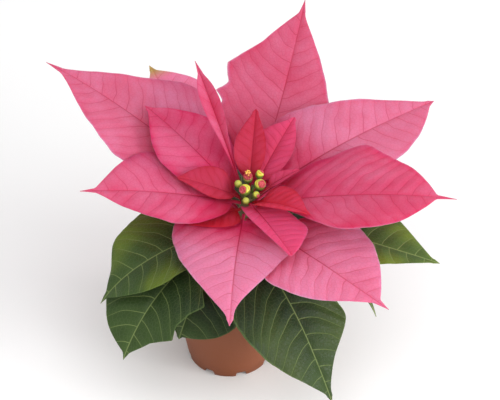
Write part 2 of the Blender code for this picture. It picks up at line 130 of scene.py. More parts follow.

# How a leaf grows where its own row says nothing else. depth: its seat below the stem's top. heading: the
# way it points, anticlockwise from +X. turn and rise: how its midrib turns aside and climbs, at each third
# of its length. stalk and blade: lengths. half: half widths on the right and the left. base and tip: how
# full the blade is at each end. fold: how far both halves lift at the base and the tip. roll: how far the
# left side lifts and the right one drops. heart: how far the base reaches back past the stalk. curl: how
# far the edges bend down. lobes: side (-1 right, 1 left), place along the blade, height, spread. drip and
# drip_half: the share of the blade that is its drawn-out tip, and the half width there. tint: 0 for the
# deepest colour and 1 for the palest. bright: what its colour is multiplied by, partly the piece's own
# lighter or darker tone and partly painted light and shade, with a piece made lighter or darker for the
# light that falls on it. waves: the height of the waves along its edges. green: how green a bract's tip
# is, or how far a green leaf has yellowed.
PLAIN_LEAF = dict(
    turn=(0, 0, 0, 0), rise=(20, 10, 0, -10), stalk=15, blade=80, half=(25, 25), base=0.75, tip=1.3,
    fold=(12, 8), roll=(0, 0, 0, 0), heart=0, curl=0.08, lobes=(), stem=1.1, drip=0.07, drip_half=2,
    tint=0.5, bright=1.0, waves=0.7, green=0.0,
)

BRACTS = {
    "bract_far_left": dict(
        depth=15, heading=126, turn=(0, 18, 25, 28), rise=(19, 20, 20, 14), stalk=24, blade=139,
        half=(41, 38), base=(0.6, 0.8), tip=(1.1, 1.15), fold=(10, 8), lobes=((-1, 0.42, 8, 0.26),),
        tint=0.7, bright=0.9,
    ),
    "bract_inner_left": dict(
        depth=5.5, heading=136, rise=(26, 22, 15, 10), stalk=8, blade=83, half=(26, 27), base=(0.9, 0.8),
        tip=(0.9, 1.1), fold=(12, 6), drip=0.04, tint=0.08, bright=1.18,
    ),
    "bract_left": dict(
        depth=5, heading=184, rise=(16, 12, 6, 0), stalk=5, blade=95, half=(33, 26), base=(1.2, 0.6),
        tip=(1.0, 0.95), roll=(0, -8, -8, 0), fold=(10, 8), drip=0.09, tint=0.3, bright=1.04,
    ),
    "bract_front": dict(
        depth=12, heading=-96, turn=(0, 0, 2, 3), rise=(8, 2, -6, -14), stalk=7, blade=89, half=(42, 36),
        base=(0.28, 0.6), tip=(1.1, 1.7), roll=(0, 4, 4, 0), fold=(8, 4), heart=11, drip=0.05,
        tint=1.1, bright=1.09,
    ),
    "bract_front_right": dict(
        depth=16, heading=-46, rise=(9, 3, -1, -1), stalk=20, blade=100, half=(34, 35), base=0.7,
        tip=(1.1, 0.9), roll=(0, 8, 8, 6), drip=0.08, tint=1.0, bright=1.08,
    ),
    "bract_right": dict(
        depth=7, heading=-13, rise=(24, 16, 10, 2), stalk=12, blade=118, half=(36, 41), base=(1.25, 0.75),
        tip=0.85, fold=(10, 8), drip=0.1, lobes=((1, 0.46, 5, 0.18),), tint=0.24, bright=1.07,
    ),
    "bract_rear_right": dict(
        depth=9, heading=33, rise=(24, 12, 4, 0), stalk=18, blade=127, half=(29, 36), base=(1.2, 0.3),
        tip=(0.95, 1.0), roll=(0, 18, 20, 16), fold=(14, 10), drip=0.03, tint=0.9, bright=0.85,
    ),
    "bract_rear": dict(
        depth=13, heading=73, turn=(0, 0, 0, 2), rise=(6, 24, 36, 38), stalk=20, blade=135, half=(35, 36),
        base=(0.6, 0.8), tip=(1.1, 0.95), fold=(6, 6), drip=0.06, tint=0.5, bright=0.86,
        lobes=((1, 0.62, 11, 0.146), (1, 0.47, 8, 0.05), (1, 0.34, 6, 0.15)),
    ),
    "bract_folded": dict(
        depth=3, heading=116.5, rise=(44, 42, 39, 38), stalk=10, blade=80, half=(7, 13), base=(2.2, 1.6),
        tip=(1.0, 0.9), fold=(65, 35), drip=0.1, waves=0.3, tint=0.3, bright=0.92,
    ),
    "bract_behind": dict(
        depth=19, heading=118.5, rise=(18, 18, 17, 12), stalk=22, blade=109, half=(29, 24),
        base=(1.8, 0.8), tip=(1.0, 1.0), drip=0.04, green=1.0, tint=1.0,
    ),
}

SMALL_BRACTS = {
    "small_bract_rear": dict(
        depth=1, heading=84, rise=(45, 42, 36, 30), stalk=8, blade=45, half=(9, 12), fold=(20, 16),
        tip=1.1, drip=0.04, tint=0.35, bright=0.92,
    ),
    "small_bract_rear_right": dict(
        depth=1.5, heading=59, rise=(34, 28, 24, 18), stalk=8, blade=50, half=(13, 17), fold=(16, 12),
        tip=1.0, drip=0.04, tint=0.75, bright=1.14,
    ),
    "small_bract_left": dict(
        depth=1, heading=179, rise=(30, 24, 20, 12), stalk=3, blade=38, half=(14, 8), base=(0.6, 0.6),
        tip=(0.9, 1.0), roll=(0, -20, -20, -10), fold=(14, 12), drip=0.04, tint=0.3, bright=0.86,
    ),
    "small_bract_dark": dict(
        depth=9, heading=208, rise=(8, 4, 0, -2), stalk=2.5, blade=33.5, half=(9, 14), base=0.4,
        fold=(8, 6), tip=0.9, tint=0.0, bright=1.25,
    ),
    "small_bract_low_right": dict(
        depth=2, heading=-42, rise=(32, 24, 14, 6), stalk=3, blade=45, half=(10, 15), base=0.5,
        fold=(24, 20), tip=1.0, tint=0.2, bright=1.32,
    ),
    "small_bract_right": dict(
        depth=1, heading=17, rise=(36, 30, 24, 18), stalk=9, blade=22, half=(6, 6), fold=(34, 30), tint=0.7,
    ),
    "small_bract_front": dict(
        depth=3, heading=-66, rise=(14, 8, 4, 0), stalk=2.5, blade=58.5, half=(8.4, 17), base=(0.28, 0.75),
        tip=(1.0, 0.6), fold=(16, 12), heart=(6.5, 0), drip=0.02, lobes=((1, 0.72, 3, 0.2),),
        tint=1.15, bright=1.12,
    ),
}

LEAVES = {
    "leaf_left": dict(
        depth=22, heading=207, rise=(8, -4, -22, -52), stalk=24, blade=78, half=(37, 27),
        base=(0.4, 0.55), tip=(1.05, 0.8), drip=0.08, lobes=((-1, 0.62, 4, 0.16),), tint=0.7, green=0.45,
    ),
    "leaf_front_left": dict(
        depth=28, heading=222, turn=(0, 0, 4, 12), rise=(12, -14, -36, -56), stalk=32, blade=80,
        half=(35, 28), base=0.7, tip=(0.8, 1.0), drip=0.05, lobes=((1, 0.66, 8, 0.12), (1, 0.3, 8, 0.12)),
    ),
    "leaf_small": dict(
        depth=52, heading=236, rise=(32, 0, -46, -60), stalk=22, blade=46, half=(18, 32), base=(0.6, 0.4),
        tip=(1.0, 0.45), roll=(0, -20, -36, -40), drip=0.04, tint=0.1, bright=0.75,
    ),
    "leaf_front": dict(
        depth=33, heading=-54, rise=(10, -30, -48, -56), stalk=24, blade=98, half=(42, 28),
        base=(0.5, 0.7), tip=(1.1, 1.3), drip=0.04, lobes=((1, 0.55, 7, 0.2),), green=0.15, tint=0.0,
        bright=0.74,
    ),
    "leaf_right": dict(
        depth=20, heading=-17, rise=(14, 2, -7, -9), stalk=34, blade=90, half=(23, 32), tip=1.1, drip=0.04,
        green=0.55, tint=1.1, bright=1.15,
    ),
    "leaf_low_right": dict(
        depth=36, heading=-31, turn=(0, 0, 0, -30), rise=(24, 12, -14, -50), stalk=32, blade=77,
        half=(12, 18), drip=0.2,
    ),
    "leaf_rear": dict(
        depth=40, heading=87, rise=(10, 2, -10, -30), stalk=12, blade=90, half=(34, 30), base=0.5,
    ),
    "leaf_rear_left": dict(
        depth=47, heading=129, rise=(14, 2, -16, -34), stalk=20, blade=70, half=(27, 25),
    ),
    "leaf_rear_right": dict(
        depth=45, heading=42, rise=(14, 2, -14, -34), stalk=14, blade=88, half=(28, 28),
    ),
}

# The cyathia: the middle of each cup from the stem's top, its radius, the ways its mouth and its gland
# face, half its mouth's angle (0 when closed), its gland's size, and how many stamens stand out of it
CYATHIA = (
    ((0.0, 6.0, 9.0), 2.8, (0.0, -0.2, 1.0), (-0.9, -0.2, 0.3), 72, 0.55, 8),
    ((7.2, 8.7, 10.0), 2.5, (0.6, 0.3, 0.75), (-0.08, -0.66, 0.75), 34, 1.5, 0),
    ((7.5, 1.0, 8.0), 3.4, (0.33, -0.6, 0.72), (-0.62, -0.2, 0.72), 42, 1.25, 0),
    ((-6.0, 3.0, 7.0), 2.3, (0.0, -0.5, 0.86), (0.1, -0.3, 0.95), 0, 0.95, 0),
    ((-1.8, -2.7, 7.0), 3.4, (-0.5, -0.62, 0.6), (0.55, -0.15, 0.82), 42, 1.35, 0),
    ((5.0, -5.0, 5.0), 2.2, (0.6, -0.75, 0.25), (-0.15, -0.4, 0.9), 26, 1.15, 0),
    ((-1.2, -8.5, 3.0), 2.2, (-0.1, -0.7, 0.7), (0.0, 0.0, 1.0), 0, 0.0, 0),
)


# Sizes and colours that a user would change


def shown_number(name, what, value, **kind):
    """A number that the panel shows."""
    return bpy.props.FloatProperty(name=name, description=what, default=value, **kind)


def shown_count(name, what, value, low, high=1000):
    """A whole number that the panel shows."""
    return bpy.props.IntProperty(name=name, description=what, default=value, min=low, max=high)


def shown_colour(name, what, value):
    """A colour that the panel shows."""
    return bpy.props.FloatVectorProperty(
        name=name, description=f"Colour of {what}", default=value, subtype="COLOR", min=0.0, max=1.0,
    )


SMALL = {"min": 0.0001, "max": 0.003, "unit": "LENGTH"}


class PoinsettiaSizes(bpy.types.PropertyGroup):
    """Sizes of the plant's details."""

    blade_thickness: shown_number("Blade thickness", "A blade's thickness between veins", 0.0005, **SMALL)
    quilting: shown_number("Quilting", "How far a blade swells between its side veins", 0.00028, **SMALL)
    crumb_size: shown_number("Crumb size", "Mean radius of a crumb of potting mix", 0.0009, **SMALL)
    bract_veins: shown_count("Bract veins", "Side veins on each half of a large bract", 12, 4, 24)
    crumb_seed: shown_count("Crumb seed", "Seed for where the crumbs lie", 7, 0)


class PoinsettiaColours(bpy.types.PropertyGroup):
    """Colours of the plant and its pot."""

    bract_pale: shown_colour("Pale bract", "the palest part of a large bract", (0.61, 0.178, 0.305))
    bract_deep: shown_colour("Deep bract", "a large bract near the flowers", (0.52, 0.022, 0.090))
    bract_vein: shown_colour("Bract vein", "a bract's veins", (0.34, 0.008, 0.035))
    small_pale: shown_colour("Pale small bract", "the palest part of a small bract", (0.58, 0.056, 0.150))
    small_deep: shown_colour("Deep small bract", "the darkest part of a small bract", (0.39, 0.012, 0.028))
    leaf_dark: shown_colour("Dark leaf", "the darkest part of a green leaf", (0.014, 0.028, 0.011))
    leaf_light: shown_colour("Light leaf", "the lightest part of a green leaf", (0.058, 0.104, 0.026))
    leaf_vein: shown_colour("Leaf vein", "a green leaf's veins", (0.19, 0.25, 0.085))
    pot: shown_colour("Pot", "the pot's plastic", (0.225, 0.066, 0.026))
    soil: shown_colour("Soil", "the potting mix", (0.035, 0.022, 0.014))
    gland: shown_colour("Gland", "the flowers' nectar glands", (0.72, 0.68, 0.06))
    cup: shown_colour("Flower cup", "the flowers' cups", (0.15, 0.235, 0.035))


class PoinsettiaStage(bpy.types.PropertyGroup):
    """The studio round the plant."""

    camera_distance: shown_number("Camera distance", "From the camera to its target", 1.1, unit="LENGTH")
    camera_elevation: shown_number(
        "Camera elevation", "How far above the horizon it stands", math.radians(40.0), subtype="ANGLE")
    lens: shown_number("Lens", "The camera's focal length on a 36 mm sensor", 127.8, unit="CAMERA")
    top_power: shown_number("Top light", "Power of the large light overhead", 12.5, unit="POWER")
    side_power: shown_number("Side light", "Power of the light at the right", 27.0, unit="POWER")
    world_strength: shown_number("World light", "Strength of the even light all round", 0.68)


# Node trees


def sum_of(operation, turned=False):
    """An operator between a wire and a wire or a number, which comes first where the sum is turned."""
    def made(wire, other):
        return wire.net.math(operation, *((other, wire) if turned else (wire, other)))
    return made


class Wire:
    """A node's output, which sums can be written with."""

    def __init__(self, net, socket):
        self.net, self.socket = net, socket

    __add__ = __radd__ = sum_of("ADD")
    __mul__ = __rmul__ = sum_of("MULTIPLY")
    __sub__, __rsub__ = sum_of("SUBTRACT"), sum_of("SUBTRACT", turned=True)
    __truediv__, __pow__ = sum_of("DIVIDE"), sum_of("POWER")


class Net:
    """A node tree being wired."""

    def __init__(self, tree):
        self.tree = tree

    def add(self, kind, feeds=None, **settings):
        """A node with its settings made and its inputs set or linked."""
        node = self.tree.nodes.new(kind)
        for name, value in settings.items():
            setattr(node, name, value)
        for name, value in (feeds or {}).items():
            self.feed(node.inputs[name], value)
        return node

    def feed(self, socket, value):
        """Sets a socket, or links a wire to it."""
        if isinstance(value, Wire):
            self.tree.links.new(value.socket, socket)
        elif value is not None:
            socket.default_value = value

    def wire(self, kind, feeds=None, out=0, **settings):
        """One output of a new node."""
        return Wire(self, self.add(kind, feeds, **settings).outputs[out])

    def math(self, operation, a, b=None):
        """The value of a sum."""
        return self.wire("ShaderNodeMath", {0: a, 1: b}, operation=operation)

    def most(self, *values):
        """The largest of some values."""
        return functools.reduce(functools.partial(self.math, "MAXIMUM"), values)

    def ramp(self, value, low, high, to_low=0.0, to_high=1.0):
        """A value eased from one range to another."""
        feeds = {"Value": value, "From Min": low, "From Max": high, "To Min": to_low, "To Max": to_high}
        return self.wire("ShaderNodeMapRange", feeds, interpolation_type="SMOOTHSTEP")

    def vector(self, operation, a, b):
        """A sum of two vectors, or a vector scaled by a value."""
        feeds = {0: a, "Scale" if operation == "SCALE" else 1: b}
        return self.wire("ShaderNodeVectorMath", feeds, operation=operation)

    def split(self, vector):
        """The three parts of a vector."""
        return [Wire(self, part) for part in self.add("ShaderNodeSeparateXYZ", {0: vector}).outputs]

    def mix(self, factor, a, b):
        """A mix of two colours."""
        a, b = (value if isinstance(value, Wire) else (*value, 1.0) for value in (a, b))
        return self.wire("ShaderNodeMix", {0: factor, 6: a, 7: b}, 2, data_type="RGBA", blend_type="MIX")

    def noise(self, place, scale, detail, out="Fac", **more):
        """A noise texture's value or colour."""
        feeds = {"Vector": place, "Scale": scale, "Detail": detail, **more}
        return self.wire("ShaderNodeTexNoise", feeds, out)

    def painted(self, shape, material):
        """The end of a geometry tree: its instances made real, smoothed and given their material."""
        for kind in ("RealizeInstances", "SetShadeSmooth"):
            shape = self.wire(f"GeometryNode{kind}", {0: shape})
        self.put(Shape=self.wire("GeometryNodeSetMaterial", {0: shape, "Material": material}))
        return self.tree

    def planted(self, given, points, shape, rotation, scale):
        """A geometry tree's end with a shape stood on points."""
        feeds = {"Points": points, "Instance": shape, "Rotation": rotation, "Scale": scale}
        return self.painted(self.wire("GeometryNodeInstanceOnPoints", feeds), given["Material"])

    def put(self, **values):
        """Links a group's outputs."""
        self.add("NodeGroupOutput", values)


def node_group(name, kind, inputs, outputs):
    """A node group's net, and its inputs as wires. An input is named with its default, or its kind."""
    tree = bpy.data.node_groups.new(name, kind)
    for label, value in inputs.items():
        named = isinstance(value, str)
        form = value if named else type(value).__name__.title()
        socket = tree.interface.new_socket(name=label, in_out="INPUT", socket_type=f"NodeSocket{form}")
        if not named:
            socket.default_value = value
    for label, form in outputs.items():
        tree.interface.new_socket(name=label, in_out="OUTPUT", socket_type=f"NodeSocket{form}")
    net = Net(tree)
    return net, {socket.name: Wire(net, socket) for socket in net.add("NodeGroupInput").outputs}


def geometry_group(name, **inputs):
    """A geometry tree with a shape coming in and going out, and its other inputs."""
    inputs = {label.replace("_", " "): value for label, value in inputs.items()}
    return node_group(name, "GeometryNodeTree", {"Shape": "Geometry", **inputs}, {"Shape": "Geometry"})


def made_once(store):
    """Lets a builder hand back what Blender already holds under its name."""
    def wrap(build):
        @functools.wraps(build)
        def made(name, *details, **more):
            return getattr(bpy.data, store).get(name) or build(name, *details, **more)
        return made
    return wrap


@made_once("node_groups")
def vein_group(name):
    """Side veins, midrib and fine net of a blade, from its own lengthwise and sideways distances."""
    inputs = {
        "Place": "Vector", "Spacing": 0.1, "Slant": 0.6, "Curve": 1.0, "Line": 0.003, "Rib": 0.006,
        "Wander": 0.02, "Net Scale": 50.0,
    }
    outputs = dict.fromkeys(("Line", "Rib", "Net", "Relief"), "Float")
    net, given = node_group(name, "ShaderNodeTree", inputs, outputs)
    place, spacing, wide = given["Place"], given["Spacing"], given["Line"]
    stray = net.vector("SUBTRACT", net.noise(place, 5.0, 2.0, "Color"), (0.5, 0.5, 0.5))
    moved = net.vector("ADD", place, net.vector("SCALE", stray, given["Wander"]))
    x, y, _ = net.split(moved)
    plain = net.split(place)[0]
    aside, middle = net.math("ABSOLUTE", x), net.math("ABSOLUTE", plain)
    level = y - aside * given["Slant"] - aside * aside * given["Curve"]
    phase = level / spacing + net.math("LESS_THAN", plain, 0.0) * VEIN_OFFSET
    share = 1.0 - net.math("ABSOLUTE", net.math("FRACT", phase) - 0.5) * 2.0
    feeds = {"Vector": moved, "Scale": given["Net Scale"]}
    cells = net.wire("ShaderNodeTexVoronoi", feeds, "Distance", feature="DISTANCE_TO_EDGE",
                     voronoi_dimensions="2D")
    web = net.ramp(cells, 0.02, 0.12, 1.0, 0.0)
    net.put(
        Line=net.ramp(share * (spacing * 0.5), wide * 0.3, wide * 1.3, 1.0, 0.0),
        Rib=net.ramp(middle, given["Rib"] * 0.5, given["Rib"], 1.0, 0.0),
        Net=web, Relief=share**0.6 * net.ramp(middle, 0.0, 0.04) - web * 0.25,
    )
    return net.tree


@made_once("node_groups")
def mottle_group(name):
    """Soft blotches and fine grain that break up an even colour."""
    inputs = {"Place": "Vector", "Scale": 30.0, "Grain Scale": 900.0}
    net, given = node_group(name, "ShaderNodeTree", inputs, {"Blotch": "Float", "Grain": "Float"})
    broad = net.noise(given["Place"], given["Scale"], 3.0, Roughness=0.55)
    fine = net.noise(given["Place"], given["Grain Scale"], 2.0)
    net.put(Blotch=net.ramp(broad, 0.3, 0.7), Grain=net.ramp(fine, 0.3, 0.7))
    return net.tree


class Skin(Net):
    """A material being wired round its Principled shader, whose even values are set on its own sockets."""

    def __init__(self, name, **settings):
        self.made = bpy.data.materials.new(name)
        self.made.use_nodes = True
        super().__init__(self.made.node_tree)
        self.shader = self.tree.nodes["Principled BSDF"]
        for socket, value in settings.items():
            self.feed(self.shader.inputs[socket.replace("_", " ")], value)

    def place(self):
        """A point's own place in its piece."""
        return self.wire("ShaderNodeTexCoord", out="Object")

    def mottle(self, scale, grain_scale=900.0):
        """Blotches and grain at their own scales."""
        feeds = {"Place": self.place(), "Scale": scale, "Grain Scale": grain_scale}
        node = self.add("ShaderNodeGroup", feeds, node_tree=mottle_group("mottle"))
        return [Wire(self, socket) for socket in node.outputs]

    def blade(self, spacing, slant, curve, line, rib, wander, net_scale):
        """A blade's veins by name, its places and underside mask, and its tint, green and brightness."""
        feeds = {
            "Place": self.wire("ShaderNodeUVMap", uv_map="blade"), "Spacing": spacing, "Slant": slant,
            "Curve": curve, "Line": line, "Rib": rib, "Wander": wander, "Net Scale": net_scale,
        }
        group = self.add("ShaderNodeGroup", feeds, node_tree=vein_group("blade_veins"))
        veins = {socket.name: Wire(self, socket) for socket in group.outputs}
        masks = [self.split(self.mask(name, "Vector")) for name in ("where", "look")]
        return veins, *masks

    def mask(self, name, out="Fac"):
        """A value or a vector stored on the piece's points."""
        return self.wire("ShaderNodeAttribute", out=out, attribute_name=name)

    def finish(self, colour, rough, height=None, distance=0.0, strength=1.0):
        """Links the varying colour, roughness and bump, and hands back the material."""
        feeds = {"Base Color": colour, "Roughness": rough}
        if height:
            bump = {"Height": height, "Distance": distance, "Strength": strength}
            feeds["Normal"] = self.wire("ShaderNodeBump", bump, "Normal")
        for name, value in feeds.items():
            self.feed(self.shader.inputs[name], value)
        return self.made


def shade(colour, factor):
    """A colour made darker or lighter."""
    return tuple(part * factor for part in colour)


@made_once("materials")
def bract_material(name, pale, deep, vein, spacing, net_scale, start, end, least):
    """A bract's soft pink: deeper by the flowers, partly as painted shade, with crimson veins, paler on its
    raised quilting as a painted highlight, and paler beneath.
    """
    skin = Skin(name, Specular_IOR_Level=0.12, Subsurface_Weight=0.5, Subsurface_Scale=0.003,
                Subsurface_Radius=(1.0, 0.2, 0.25))
    veins, (share, along, under), (tint, green, bright) = skin.blade(
        spacing, *BRACT_VEINS, line=0.0033, rib=0.0050, wander=0.09, net_scale=net_scale)
    blotch, grain = skin.mottle(45.0)
    factor = skin.ramp(along, start, end) * (tint * (1 - least) + least) + (blotch - 0.5) * 0.3
    # Painted highlight: the raised quilting between the side veins is made paler in colour, while the same
    # relief also drives the bump
    factor = factor - skin.ramp(share, 0.75, 1.0) * 0.18 + (veins["Relief"] - 0.5) * 0.13
    tone = skin.mix(skin.math("MINIMUM", skin.most(factor, 0.0), 1.0), deep, pale)
    line = veins["Line"] * (0.48 - share * 0.32) * skin.ramp(along, 0.0, 0.06)
    rib = veins["Rib"] * skin.ramp(along, 0.0, 0.9, 0.8, 0.35)
    # Painted shade: towards its root a bract turns a darker crimson, partly its own colour and partly the
    # shade where the bracts crowd round the flowers
    root = skin.ramp(along, -0.02, 0.26, 0.9, 0.0) * (1.0 - tint)
    tip = skin.ramp(along, 0.86, 0.97) * green
    layers = (
        (skin.most(line, rib, veins["Net"] * 0.11), vein), (root, ROOT_CRIMSON_SHADE), (tip, TIP_OLIVE),
        (under * 0.35, BENEATH_ROSE),
    )
    for mask, second in layers:
        tone = skin.mix(mask, tone, second)
    height = (veins["Relief"] + grain * 0.15) * skin.ramp(along, -0.02, 0.05)
    # The piece's bright factor scales its colour: partly its own tone, partly painted light and shade
    return skin.finish(skin.vector("SCALE", tone, bright), grain * 0.12 + 0.50, height, 0.00036, 0.6)


@made_once("materials")
def leaf_material(name, dark, light, vein):
    """A green leaf's satin skin: dark between pale veins, lighter at the edge and paler beneath."""
    skin = Skin(name, Specular_IOR_Level=0.16)
    veins, (share, along, under), (tint, ripe, bright) = skin.blade(
        *LEAF_VEINS, line=0.0029, rib=0.0050, wander=0.04, net_scale=40.0)
    blotch, grain = skin.mottle(40.0)
    factor = skin.ramp(along, 0.3, 1.0, 0.0, 0.45) + blotch * 0.3 + tint * 0.35
    tone = skin.mix(skin.math("MINIMUM", factor, 1.0), dark, light)
    rim = skin.ramp(share, 0.955, 0.985) * 0.55 * skin.ramp(along, 0.0, 0.1)
    patch = skin.ramp(skin.noise(skin.place(), 28.0, 1.0), 0.42, 0.62)
    patch = patch * skin.ramp(share, 0.15, 0.95, 0.12, 1.0)
    line = veins["Line"] * (0.9 - share * 0.45) * skin.ramp(along, 0.0, 0.06)
    stalk = skin.ramp(along, -0.02, 0.0, 1.0, 0.0)
    layers = (
        (rim, RIM_GREEN), (veins["Relief"] * -0.12 + 0.12, HALO_GREEN), (patch * ripe, YELLOWED),
        (skin.most(line, veins["Rib"] * 0.9, veins["Net"] * 0.07, stalk * 0.8), vein),
        (stalk * 0.45, STALK_RED), (under * 0.5, BENEATH_GREEN),
    )
    for mask, second in layers:
        tone = skin.mix(mask, tone, second)
    rough = grain * 0.12 + 0.34 + under * 0.15
    height = (veins["Relief"] + grain * 0.12) * skin.ramp(along, -0.02, 0.05)
    # The piece's bright factor scales its colour: partly its own tone, partly painted light and shade
    return skin.finish(skin.vector("SCALE", tone, bright), rough, height, 0.0006, 0.8)


@made_once("materials")
def grown_material(name, colour, second, blush, scale, roughness, bump):
    """A green or fleshy skin in two blotched tones, riper and redder where the piece's own masks say."""
    skin = Skin(name, Specular_IOR_Level=0.45, Subsurface_Weight=0.05, Subsurface_Scale=0.001)
    blotch, grain = skin.mottle(scale, 2500.0)
    tone = skin.mix(blotch, colour, second)
    tone = skin.mix(skin.mask("ripe"), tone, RIPE)
    tone = skin.mix(skin.mask("blush"), tone, blush)
    return skin.finish(tone, grain * 0.12 + roughness, blotch + grain * 0.4, bump)


@made_once("materials")
def pot_material(name, colour):
    """Moulded plastic the colour of terracotta, with faint turning lines and a dusty bloom."""
    skin = Skin(name, Specular_IOR_Level=0.2)
    blotch, grain = skin.mottle(22.0, 1400.0)
    height = skin.split(skin.place())[2]
    dark = shade(colour, 0.72)
    tone = skin.mix(blotch * 0.35, colour, [part * 1.12 + 0.025 for part in colour])
    tone = skin.mix(skin.ramp(height, 0.0, 0.012, 0.45, 0.0), tone, dark)
    tone = skin.mix(grain * 0.06, tone, dark)
    turning = skin.math("SINE", height * 9000.0)
    return skin.finish(tone, blotch * 0.12 + 0.46, turning * 0.25 + grain * 0.8, 0.00004)


@made_once("materials")
def soil_material(name, colour, light):
    """Potting mix or one kind of its crumbs."""
    skin = Skin(name, Specular_IOR_Level=0.2)
    blotch, grain = skin.mottle(260.0, 3000.0)
    return skin.finish(skin.mix(blotch, colour, light), grain * 0.15 + 0.82, blotch + grain * 0.5, 0.0004)


# The shapes of the plant


def held(values):
    """Values held between 0 and 1."""
    return np.clip(values, 0.0, 1.0)


def unit(vector):
    """A vector's direction."""
    return np.asarray(vector, float) / np.linalg.norm(vector)


def stem_centre(height):
    """The stem's middle at a height: upright in the soil, and leaning above it."""
    share = max(0.0, (height - SOIL_TOP) / (TOP[2] - SOIL_TOP)) ** STEM_BEND
    return np.array((TOP[0] * share, TOP[1] * share, height))


def stem_radius(height):
    """The stem's radius at a height, widening to the knot that carries the flowers."""
    share = (height - STEM_FOOT) / (TOP[2] - STEM_FOOT)
    knot = held((height - (TOP[2] - KNOT_HEIGHT)) / KNOT_HEIGHT)
    plain = STEM_RADIUS_LOW + (STEM_RADIUS_HIGH - STEM_RADIUS_LOW) * share
    return plain + (KNOT_RADIUS - STEM_RADIUS_HIGH) * knot * knot * (3 - 2 * knot)


def leaf_seat(leaf):
    """Where a leaf's stalk starts, just clear of the stem's side at the height of its upper edge."""
    way, rise = math.radians(leaf["heading"]), math.radians(leaf["rise"][0])
    thick = leaf["stem"] + RIB_TIP
    edge = TOP[2] - leaf["depth"] + thick
    reach = stem_radius(edge) + SEAT_GAP + thick * abs(math.sin(rise))
    return stem_centre(edge) + (reach * math.cos(way), reach * math.sin(way), -thick)


def midrib(leaf, shares):
    """A midrib's points, directions, left sides and upward normals at shares of its length."""
    fine = np.linspace(0.0, 1.0, PATH_STEPS + 1)
    rise = np.radians(np.interp(fine, THIRDS, leaf["rise"]))
    way = np.radians(leaf["heading"] + np.interp(fine, THIRDS, leaf["turn"]))
    roll = np.radians(np.interp(fine, THIRDS, leaf["roll"]))[:, None]
    along = np.stack((np.cos(rise) * np.cos(way), np.cos(rise) * np.sin(way), np.sin(rise)), axis=1)
    flat = np.stack((-np.sin(way), np.cos(way), np.zeros_like(way)), axis=1)
    above = np.cross(along, flat)
    left = flat * np.cos(roll) + above * np.sin(roll)
    above = above * np.cos(roll) - flat * np.sin(roll)
    step = (leaf["stalk"] + leaf["blade"]) / PATH_STEPS
    path = np.vstack((np.zeros(3), np.cumsum((along[1:] + along[:-1]) / 2 * step, axis=0)))
    path += leaf_seat(leaf)
    return [
        np.stack([np.interp(shares, fine, values[:, i]) for i in range(3)], axis=1)
        for values in (path, along, left, above)
    ]


def on_side(value, side):
    """A value for one side: the first of a pair is the right one, and a single value serves both."""
    if isinstance(value, tuple):
        return value[0] if side < 0 else value[1]
    return value


def half_width(leaf, t, side):
    """A blade's half width at shares t of the blade's length, on one side."""
    half, p, q = (on_side(leaf[word], side) for word in ("half", "base", "tip"))
    peak = (p / (p + q)) ** p * (q / (p + q)) ** q
    inside = held(t)
    body = held(inside / (1 - leaf["drip"]))
    wide = half * body**p * (1 - body) ** q / peak
    for lobe_side, place, height, spread in leaf["lobes"]:
        if lobe_side == side:
            tooth = held(1 - np.abs(inside - place) / spread)
            rounded = tooth * tooth * (3 - 2 * tooth)
            wide = wide + height * (rounded if spread > ROUND_LOBE else tooth**LOBE_POINT)
    point = leaf["drip_half"] * held((1 - inside) / leaf["drip"]) * held(t / 0.1)
    return np.hypot(wide, point)


def vein_level(y, x, side, spacing, slant, curve):
    """Which side vein a point is on: whole numbers on the veins, and halves between them."""
    level = y - slant * x - curve / BLADE_UNIT * x * x
    return level / (spacing * BLADE_UNIT) + (VEIN_OFFSET if side < 0 else 0.0)


def leaf_sheet(leaf, stations, places, veins, quilting, seed):
    """A leaf's middle surface with its quilting and waves, and each point's own distances and shares."""
    path, along, left, above = midrib(leaf, stations / (leaf["stalk"] + leaf["blade"]))
    y = stations - leaf["stalk"]
    t = y / leaf["blade"]
    inside = held(t)
    stalk = leaf["stem"] * (1 - RIB_TAPER * inside)
    fold = np.radians(np.interp(inside, (0, 1), leaf["fold"])) * held(inside / FOLD_START)
    points, fields = [], []
    for place in places:
        side, share = (-1 if place < 0 else 1), abs(place)
        wide = np.hypot(half_width(leaf, t, side), stalk)
        ruffle = 1 + RUFFLE[0] * np.sin(y * RUFFLE[1] + seed * 1.7 + side)
        ruffle += FINE_RUFFLE[0] * np.sin(y * FINE_RUFFLE[1] + seed)
        wide = np.where(t > RUFFLE_START, wide * ruffle, wide)
        x, blade = share * wide, wide - stalk
        level = vein_level(y, x, side, *veins)
        pillow = np.abs(np.sin(math.pi * level)) ** 0.8 - 0.55
        pillow *= held((x - stalk) / 5.0) * np.clip((wide - x) / 7.0, 0.25, 1)
        pillow *= held(t / RUFFLE_START)
        wave = leaf["waves"] * np.sin(y * 0.16 + seed * 2.1 + side * 1.3) * np.sin(math.pi * inside)
        wave += 0.2 * leaf["waves"] * np.sin(y * 0.37 + seed + side)
        lift = share * blade * np.sin(fold) - leaf["curl"] * blade * share**2
        lift += quilting * pillow + wave * share**3 * held(blade / 12.0)
        reach = on_side(leaf["heart"], side) * held(inside / HEART_START)
        back = reach * share**2 * (1 - inside) ** HEART_POWER
        out = (side * x * np.cos(fold))[:, None] * left
        points.append(path + out + lift[:, None] * above - back[:, None] * along)
        fields.append(np.stack((side * x, y, np.full_like(t, share), t), axis=1))
    return np.stack(points, axis=1), np.stack(fields, axis=1), t, stalk, above


def spaced_places(count):
    """Places across a blade, from -1 at its right edge to 1 at its left, closer by the midrib."""
    steps = np.linspace(-1.0, 1.0, 2 * count + 1)
    return np.sign(steps) * np.abs(steps) ** 1.5


